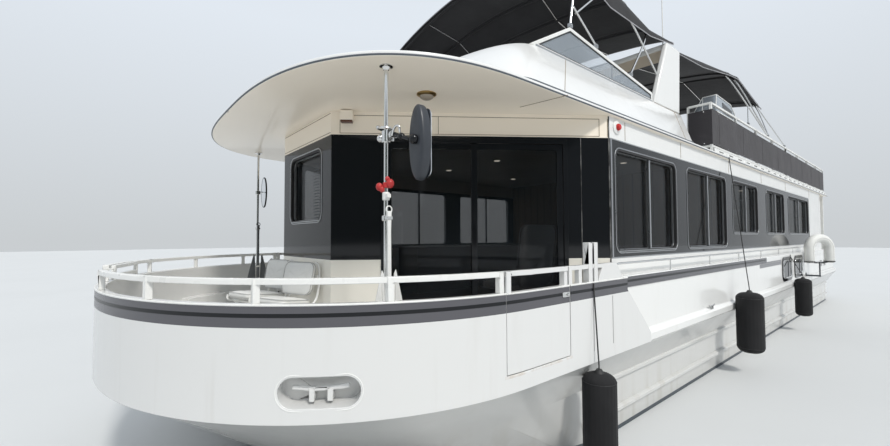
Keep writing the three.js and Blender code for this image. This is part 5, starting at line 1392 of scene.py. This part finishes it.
# Anchors that hang on the poles. Shank columns: z, half width, half depth
SHANK = [(1.372, 0.02, 0.012), (1.6, 0.017, 0.011), (2.1, 0.013, 0.009), (2.24, 0.017, 0.011)]
BLADE = [(0.026, 1.402), (0.155, 1.408), (0.112, 1.60), (0.058, 1.82), (0.043, 1.79)]
RIB = [(0.034, 1.41), (0.05, 1.41), (0.064, 1.76), (0.056, 1.76)]


def make_anchors():
    # The starboard anchor is galvanised, and its dark grey is partly painted shade; the port anchor is
    # white
    for ((word, _), (x, y)), look in zip(POLES, ("rail", "iron")):
        def at(u, depth, v):
            return Vector((x + 0.0403 + depth, y + u, v))
        anchor, clips = Form(), Form()
        corners = ((-1, -1), (1, -1), (1, 1), (-1, 1))
        anchor.skin([[at(du * wide, dv * deep, z) for du, dv in corners] for z, wide, deep in SHANK])
        anchor.tube([at(-0.162, 0, 1.395), at(0.162, 0, 1.395)], 0.016, 14)
        knob(anchor, at(0, 0, 1.4), 0.03, 0.034)
        for sign in SIGNS:
            for outline, half in ((BLADE, 0.005), (RIB, 0.013)):
                anchor.prism([(sign * u, v) for u, v in outline], at, -half, half)
        loop = [at(0.024 * cos(a), 0, 2.252 + 0.024 * sin(a)) for a in turns(24)]
        anchor.tube(loop, 0.005, 8, closed=True)
        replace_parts(anchor.build(f"anchor_{word}_body", look, bevel=0.003), f"anchor_{word}")
        for z in (1.64, 2.19):
            collar(clips, x, y, z, 0.02, 0.03)
            clips.box((-0.024, -0.02, z - 0.012), (0.024, 0.014, z + 0.012), at)
        clips.build(f"anchor_{word}_clips", "steel", bevel=0.002)


# Fenders. Columns: name, y, radius, bottom, top, x of the face, place of the tie
FENDERS = [
    ("fender_forward", -6.13, 0.144, 0.012, 0.875, 2.43875, (2.54, -6.13, 1.64)),
    ("fender_middle", -2.03, 0.175, 0.31, 1.215, 2.528, (2.39, -1.65, 3.34)),
    ("fender_aft", 2.15, 0.147, 0.32, 1.135, 2.528, (2.47, 2.15, 1.64)),
]
FENDER_NECK = [(0.0, -0.004), (0.045, -0.004), (0.03, 0.018), (0.024, 0.03), (0.0, 0.03)]


def make_fenders(swell=2.4, ribs=24):
    for name, y, radius, low, high, face, (tie_x, tie_y, tie_z) in FENDERS:
        x = face + radius + 0.0003
        rings = []
        for z in steps(low, high, 60):
            near = min(z - low, high - z) / (radius * 0.62)
            size = max(0.02, radius * (1 - (1 - min(1.0, near)) ** swell) ** (1 / swell))
            ring = []
            for a in turns(72):
                rib = 0.0035 * (0.5 + 0.5 * cos(ribs * a)) * min(1.0, size / radius)
                reach = size - 0.0036 + rib
                ring.append((x + reach * cos(a), y + reach * sin(a), z))
            rings.append(ring)
        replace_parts(Form().skin(rings).build(f"{name}_cover", "fender", smooth=60), name)
        ends = Form().turned(FENDER_NECK, (x, y, high - 0.004), sides=20)
        size = radius * 0.985
        for z in (low + radius * 0.5, high - radius * 0.5):
            band = [(x + size * cos(a), y + size * sin(a), z) for a in turns(48)]
            ends.tube(band, 0.003, 6, closed=True)
        ends.build(f"{name}_ends", "rubber")
        tie = tie_x + 0.0064
        path = [(x, y, high + 0.01), (x, y, high + 0.055), (tie, tie_y, tie_z - 0.04), (tie, tie_y, tie_z)]
        Form().tube(path, 0.0065, 8).build(f"{name}_line", "rope")


# Horseshoe buoy in its cover
BUOY_X = 2.727
BUOY_Y = 3.88
BUOY_Z = 1.74
BUOY_ALONG = Vector((0.485, 0.875, 0))
BUOY_LEGS = 1.39
BUOY_HALF = 0.3
BUOY_UP = 0.255
BUOY_TUBE = 0.105
BUOY_ARM = 1.06
BUOY_STRAP = 1.41


def make_buoy():
    x, y, arm, along, tube = BUOY_X, BUOY_Y, BUOY_ARM, BUOY_ALONG, BUOY_TUBE
    centre = Vector((x, y, BUOY_Z))
    out = along.cross(Vector((0, 0, 1)))
    arc = [centre + along * (BUOY_HALF * cos(a)) + Vector((0, 0, BUOY_UP * sin(a)))
           for a in [pi * k / 20 for k in range(21)]]
    ends = [Vector((*(centre + along * BUOY_HALF * side).xy, BUOY_LEGS)) for side in SIGNS]
    lift = [Vector((0, 0, up)) for up in (0.003, 0.022, 0.07)]
    path = [*[ends[0] + up for up in lift], *arc, *[ends[1] + up for up in reversed(lift)]]
    size = [tube * 0.97] * len(path)
    for i, share in enumerate((0.55, 0.86)):
        size[i] = size[-1 - i] = tube * share
    cover = Form().tube(path, size, 28).build("buoy_cover", "buoy_cover", smooth=60)
    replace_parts(cover, "horseshoe_buoy")
    straps, piping, bracket = Form(), Form(), Form()
    for spot in [end + Vector((0, 0, 0.035)) for end in ends]:
        for up in (-0.012, 0.0, 0.012):
            ring = [spot + (along * cos(a) + out * sin(a)) * tube * 0.985 + Vector((0, 0, up))
                    for a in turns(36)]
            straps.tube(ring, 0.0042, 6, closed=True)
    middle = ends[0].lerp(ends[1], 0.5) + Vector((0, 0, -0.02))
    bridge = eased([ends[0] + Vector((0, 0, 0.03)), middle, ends[1] + Vector((0, 0, 0.03))])
    for shift in (-0.02, 0.02):
        straps.tube([p + out * shift for p in bridge], 0.006, 6)
    straps.build("buoy_straps", "strap")
    for shift in (-1, 1):
        piping.tube([p + out * shift * tube * 0.968 for p in path[2:-2]], 0.003, 6)
    piping.build("buoy_piping", "piping")
    wall = HALF_WAIST + 0.0003
    bracket.tube([(x, y, arm + 0.018), (x, y, BUOY_STRAP)], 0.014, 14)
    drop = Vector((0, 0, BUOY_STRAP - BUOY_Z))
    bracket.tube([centre + along * (BUOY_HALF * side) + drop for side in (-1, 1)], 0.013, 12)
    bracket.box((wall, y - 0.018, arm), (x + 0.018, y + 0.018, arm + 0.036))
    bracket.box((wall, y - 0.06, arm - 0.02), (HALF_WAIST + 0.008, y + 0.06, arm + 0.08))
    bracket.build("buoy_bracket", "housing", bevel=0.003)


# Grill. Hood columns, from front to back: y, height of the outboard edge and of the inboard edge
HOOD = [(-1.438, 0.06, 0.02), (-1.39, 0.316, 0.08), (-0.62, 0.296, 0.08), (-0.33, 0.128, 0.05),
        (-0.274, 0.03, 0.02)]


def hood_section(y, outer, low, x0, x1, ridge, lip):
    """The hood's outline at one y, as x and height above the grill's top."""
    sag = 0.006 * sin(y * 21.0) ** 2
    rim = x1 - lip
    section = [(x0 + lip, 0.004), (rim, 0.004), (rim, outer * 0.5), (rim - 0.004, outer - 0.012)]
    section += [(rim - 0.018, outer), ((x1 + ridge) / 2, outer - sag), (ridge + 0.012, outer)]
    section += [(ridge - 0.01, outer - 0.008), ((ridge + x0) / 2, (outer + low) / 2 - sag)]
    return [*section, (x0 + lip, low)]


def make_grill(x0=1.8, x1=2.18, y0=-1.45, y1=-0.25, top=4.18, ridge=1.96, lip=0.012):
    cabinet = Form().box((x0, y0, ROOF_TOP + 0.001), (x1, y1, top))
    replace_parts(cabinet.build("grill_cabinet", "housing", bevel=0.014), "grill")
    rings = []
    for first, second in zip(HOOD, HOOD[1:]):
        count = max(2, round((second[0] - first[0]) / 0.03))
        for k in range(count + (second is HOOD[-1])):
            y, outer, low = (a + (b - a) * k / count for a, b in zip(first, second))
            section = hood_section(y, outer, low, x0, x1, ridge, lip)
            rings.append([(x, y, top + up) for x, up in section])
    Form().skin(rings).build("grill_hood", "hood_film", smooth=28)
    edges, knobs = Form(), Form()
    corner = x1 - lip - 0.002
    edges.tube([(corner, y, top + outer) for y, outer, _ in HOOD], 0.009, 10)
    edges.tube([(ridge, y + 0.004, top + outer) for y, outer, _ in HOOD[:3]], 0.007, 10)
    _, (y, outer, low), *_ = HOOD
    edges.tube([(corner, y, top + outer), (ridge, y, top + outer), (x0 + lip, y, top + low)], 0.007, 10)
    for z, thick in ((top + 0.004, 0.016), (top - 0.15, 0.007)):
        edges.tube([(x0 + 0.01, y1, z), (x0 + 0.01, y0, z), (x1, y0, z), (x1, y1, z)], thick, 10)
    for x in (x0 + 0.012, x1 - 0.004):
        edges.box((x - 0.022, y0 - 0.012, top - 0.15), (x + 0.014, y0 + 0.01, top + 0.004))
    edges.build("grill_edges", "rail", bevel=0.004)
    front = Form().box((x0 + 0.03, y0 - 0.004, top - 0.14), (x1 - 0.03, y0 + 0.004, top - 0.01))
    front.build("grill_front", "dark_pane")
    skirt = Form().box((x1 - 0.002, y0 + 0.03, top - 0.14), (x1 + 0.004, y1 - 0.03, top - 0.012))
    skirt.build("grill_skirt", "hood_film", bevel=0.002)
    profile = [(0.0, 0.0), (0.02, 0.0), (0.017, 0.02), (0.0, 0.022)]
    for y in steps(y0 + 0.25, y1 - 0.25, 3):
        knobs.turned(profile, (x1 + 0.004, y, top - 0.075), (1, 0, 0), 20)
    knobs.build("grill_knobs", "black")
    outline = [(-1.08, top + 0.06), (-0.5, top + 0.05), (-0.56, top + 0.19), (-1.08, top + 0.24)]
    pane = Form().prism(outline, on_side(1, x1 - lip), -0.002, 0.003)
    pane.build("grill_window", "dark_pane", bevel=0.002)


def make_helm():
    low, high = Vector((0, -6.05, 4.018)), Vector((0, -5.72, 4.267))
    run = (high - low).normalized()
    rise = Vector((1, 0, 0)).cross(run)

    def place(u, depth, v):
        return low + Vector((u, 0, 0)) + run * v + rise * depth
    panel = Form().prism(rounded(-0.42, 0.42, 0.02, 0.38, 0.03), place, -0.006, 0.008)
    panel.build("helm_panel", "black", bevel=0.002)
    dials, glasses = Form(), Form()
    size = 0.045
    for u in (-0.3, -0.17, 0.17, 0.3):
        spot = place(u, 0.008, 0.28)
        rim = [(size, 0.0), (size + 0.006, 0.0), (size + 0.005, 0.008), (size - 0.002, 0.008)]
        dials.turned(rim, spot, rise, 28)
        glasses.turned([(0.0, 0.002), (size, 0.002), (size, 0.004), (0.0, 0.005)], spot, rise, 28)
    dials.build("helm_dials", "steel")
    glasses.build("helm_dial_faces", "dark_pane")
    screen = Form().prism(rounded(-0.11, 0.11, 0.1, 0.26, 0.01), place, 0.008, 0.014)
    screen.build("helm_screen", "dark_pane", bevel=0.002)


# Inside of the cabin. Profile columns: radius, height. Drapes are given by their ends along the side
CEILING = 3.285
FLOOR = DECK + 0.0005
DOWNLIGHT = [(0.0, 0.0), (0.05, 0.0), (0.045, -0.008), (0.0, -0.008)]
TABLE_FOOT = [(0.0, 0.0), (0.2, 0.0), (0.2, 0.012), (0.045, 0.03), (0.04, 0.69), (0.0, 0.69)]
CHAIR_FOOT = [(0.0, 1.01), (0.24, 1.01), (0.24, 1.03), (0.05, 1.05), (0.04, 1.38), (0.0, 1.38)]
SLAT = [(-0.012, -0.008), (0.012, 0.006), (0.012, 0.008), (-0.012, -0.006)]
DRAPES = [(-1.45, -1.3), (0.2, 0.34), (0.7, 0.83), (2.4, 2.54), (2.7, 2.83), (5.25, 5.35)]
CHAIR = Vector((1.15, -5.55, 0))


def make_interior():
    ceiling = Form().box((-2.27, -5.3, CEILING), (2.27, 7.1, CEILING + 0.02))
    nose = [(-0.66, -7.66), (0.66, -7.66), (2.22, -5.3), (-2.22, -5.3)]
    ceiling.prism(nose, on_level(CEILING), 0.0, 0.02).build("cabin_ceiling", "ceiling", bevel=0.003)
    floor = Form().box((-2.28, -5.35, FLOOR), (2.28, 7.13, FLOOR + 0.0075))
    nose = [(-0.64, -7.67), (0.64, -7.67), (2.24, -5.35), (-2.24, -5.35)]
    floor.prism(nose, on_level(FLOOR), 0.0, 0.0075).build("cabin_floor", "planks")
    lights, blind = Form(), Form()
    for x in (-1.2, 0.0, 1.2):
        for y in (-6.4, -4.6, -2.8, -0.4, 1.6, 3.8, 5.8):
            if abs(x) < 1 or y > -6:
                lights.turned(DOWNLIGHT, (x, y, CEILING + 0.0005), sides=20)
    lights.build("cabin_downlights", "lamp")
    Form().box((-2.27, -5.0, DECK + 0.01), (-1.65, -1.6, 1.86)).build("galley", "joinery", bevel=0.006)
    Form().box((-2.28, -5.02, 1.862), (-1.62, -1.6, 1.882)).build("galley_top", "ceiling", bevel=0.006)
    table = Form().prism(rounded(0.55, 1.25, -4.3, -3.3, 0.08), on_level(1.70), 0.0, 0.035)
    table.turned(TABLE_FOOT, (0.9, -3.8, DECK + 0.009), sides=28)
    table.build("saloon_table", "joinery", bevel=0.004)
    Form().turned(CHAIR_FOOT, CHAIR, sides=28).build("recliner_foot", "steel")
    cushion("recliner_seat", lambda u, v, w: CHAIR + Vector((u, v, 1.47 + w)), 0.6, 0.58, 0.17, "sofa")
    cushion("recliner_back", lambda u, v, w: CHAIR + Vector((0.3 + w + 0.12 * (v + 0.35), u, 1.83 + v)),
            0.6, 0.72, 0.16, "sofa", (-0.12, 0.1), 0.1)
    for z in [2.24 + k * 0.0335 for k in range(22)]:
        blind.prism([(-7.645 + u, z + v) for u, v in SLAT], on_side(1, 0), 0.02, 0.43)
    blind.build("front_blind", "blind")
    for number, (y0, y1) in enumerate(DRAPES):
        wave = [(y0 + (y1 - y0) * k / 30, 0.02 * sin(k * 1.25)) for k in range(31)]
        for word, sign in SIDES:
            rings = []
            for z in steps(2.0, 3.05, 12):
                front = [Vector((sign * (2.235 + out), y, z)) for y, out in wave]
                rings.append([*front, *[Vector((x - sign * 0.002, y, z)) for x, y, z in reversed(front)]])
            Form().skin(rings).build(f"drape_{word}_{number}", "drape", smooth=80)


# Stern: boarding ladder, platform planks, light, door grip and vents
STERN_LAMP = [(0.0, 0.0), (0.03, 0.0), (0.03, 0.04), (0.02, 0.055), (0.0, 0.058)]


def make_stern():
    ladder, planks, vents = Form(), Form(), Form()
    for sign in SIGNS:
        rail = [(-1.5 + sign * 0.19, y, z) for y, z in ((9.02, 0.42), (9.02, 0.95), (8.98, 1.02))]
        ladder.tube(eased(rail, 2), 0.014, 12)
        for y in (5.9, 6.5):
            for k in range(5):
                low, high = 1.2 + 0.035 * k, 1.215 + 0.035 * k
                vents.slab(sign * (HALF_WAIST + 0.002), 0.004, y, y + 0.3, low, high)
    for z in (0.52, 0.72, 0.92):
        ladder.box((-1.69, 9.0, z), (-1.31, 9.045, z + 0.02))
    ladder.build("boarding_ladder", "steel", bevel=0.003)
    vents.build("engine_vents", "rubber", bevel=0.002)
    for front in [8.36 + k * 0.058 for k in range(14)]:
        back = front + 0.052
        wide, narrow = (2.1 - max(0.0, y - 9.0) for y in (front, back))
        outline = [(-wide, front), (wide, front), (narrow, back), (-narrow, back)]
        planks.prism(outline, on_level(0), 0.4005, 0.406)
    planks.build("platform_planks", "teak", bevel=0.001)
    Form().turned(STERN_LAMP, (0.0, 8.27, ROOF_TOP + 0.0005), sides=20).build("stern_light", "frosted")
    grip = [(-0.27, y, z) for y, z in ((7.2, 1.9), (7.26, 1.92), (7.26, 2.15), (7.2, 2.17))]
    Form().tube(eased(grip, 2), 0.01, 10).build("aft_door_grip", "steel", "leaf_aft")


# Small fittings of the bow deck, gates and side decks
CLEAT_Y = -3.0
CLEAT_Z = 1.062
LATCH_PIN = [(0.0, 0.0), (0.014, 0.0), (0.012, 0.012), (0.0, 0.014)]
CLEAT_POST = [(0.0, 0.0), (0.013, 0.0), (0.01, 0.03), (0.0, 0.03)]


def make_bow_fittings():
    seams = Form().box((HALF_DECK + 0.0005, -5.795, 1.06), (HALF_DECK + 0.003, -5.788, 1.50))
    stations = steps(GATE_FRONT_STATION + 0.004, GATE_BACK_STATION - 0.014, 30)
    for word, sign in SIDES:
        gate = f"gate_{word}"
        edge = [(sign * x, y, CAP - 0.004) for x, y in (bow_point(0.003, s) for s in stations)]
        Form().tube(edge, 0.007, 8).build(f"gate_cap_{word}", "rail", gate)
        plate = rounded(-6.60, -6.50, 1.56, 1.60, 0.012)
        latch = Form().prism(plate, on_side(sign, HALF_DECK), -0.002, 0.006)
        latch.turned(LATCH_PIN, (sign * (HALF_DECK + 0.005), -6.53, 1.58), (sign, 0, 0), 16)
        latch.build(f"gate_latch_{word}", "steel", gate)
        cleat = Form()
        x, y, z = sign * 2.50, CLEAT_Y, CLEAT_Z
        for shift in (-0.035, 0.035):
            cleat.turned(CLEAT_POST, (x, y + shift, z - 0.012), sides=14)
        horns = [(y - 0.11, z + 0.04), (y - 0.04, z + 0.027), (y + 0.04, z + 0.027), (y + 0.11, z + 0.04)]
        cleat.tube([(x, *horn) for horn in horns], [0.007, 0.012, 0.012, 0.007], 12)
        cleat.build(f"side_cleat_{word}", "steel")
        seams.slab(sign * (HALF_DECK + 0.001), 0.0015, -6.13, -6.124, 1.045, 1.50)
        seams.slab(sign * (HALF_WAIST + 0.001), 0.0015, -5.4, 8.25, 1.53, 1.534)
    hatch = Form().prism(rounded(0.95, 1.45, -8.35, -7.9, 0.05), on_level(DECK), 0.0005, 0.018)
    hatch.build("bow_hatch", "gelcoat", bevel=0.006)
    seams.build("bulwark_seams", "piping")


# Stage and light
def make_stage():
    half = 90.0
    corners = [(-half, -half, 0), (half, -half, 0), (half, half, 0), (-half, half, 0)]
    mesh = bpy.data.meshes.new("floor")
    mesh.from_pydata(corners, [], [(0, 1, 2, 3)])
    floor = bpy.data.objects.new("floor", mesh)
    scene.collection.objects.link(floor)
    mesh.materials.append(plain("floor_paint", (0.61, 0.62, 0.62), 0.6, grain=3.0, strength=0.02,
                                tint=(0.57, 0.58, 0.58)))


HORIZON = (0.62, 0.65, 0.67, 1.0)
SKY = (0.80, 0.86, 0.93, 1.0)
SHADE = (0.04, 0.055, 0.045, 1.0)
SHADE_TOWARD = (0.80, -0.60, 0.0)
SUN_WAY = Vector((-0.75, 0.12, -0.85))


def make_light():
    world = bpy.data.worlds.new("sky")
    scene.world = world
    world.use_nodes = True
    sky = Nodes(world.node_tree)
    place = sky.add("TexCoord")["Generated"]
    height = sky.add("SeparateXYZ", {0: place})["Z"]
    ramp = sky.add("ValToRGB", {"Fac": height})["Color"]
    for element, spot, color in zip(ramp.node.color_ramp.elements, (0.0, 0.45), (HORIZON, SKY)):
        element.position = spot
        element.color = color
    # A dark area low in the surround, off the port bow
    crest = sky.ramp(sky.dot(place, SHADE_TOWARD), 0.62, 0.90, -0.05, 0.33)
    shade = sky.ramp(sky.op("SUBTRACT", crest, height), -0.02, 0.03)
    background = world.node_tree.nodes["Background"].inputs
    sky.put(background, {"Strength": 0.95, "Color": sky.mix(shade, ramp, SHADE)})
    sun = bpy.data.lights.new("sun", "SUN")
    sun.energy = 2.2
    sun.angle = radians(8.0)
    sun.color = (1.0, 0.97, 0.92)
    lamp = bpy.data.objects.new("sun", sun)
    lamp.rotation_euler = SUN_WAY.to_track_quat("-Z", "Y").to_euler()
    scene.collection.objects.link(lamp)


dress_frame()
make_windows()
make_door()
make_cabin_trim()
make_portholes()
make_deck_trim()
make_coaming()
make_wings()
make_arch()
forward_end = [Vector((RUNNER_X, -2.66, 5.113 + 0.2 * RUNNER_RISE))]
make_canopy("forward", FORWARD_BOWS, FORWARD_BRACES, FORWARD_FEET, FORWARD_CANVAS, forward_end)
make_canopy("aft", AFT_BOWS, AFT_BRACES, AFT_FEET, AFT_CANVAS, [])
make_weather_cloth()
make_chairs()
make_seats()
make_poles()
make_mirrors()
make_anchors()
make_fenders()
make_buoy()
make_grill()
make_helm()
make_interior()
make_stern()
make_bow_fittings()
make_stage()
make_light()
scene.view_settings.view_transform = "Standard"
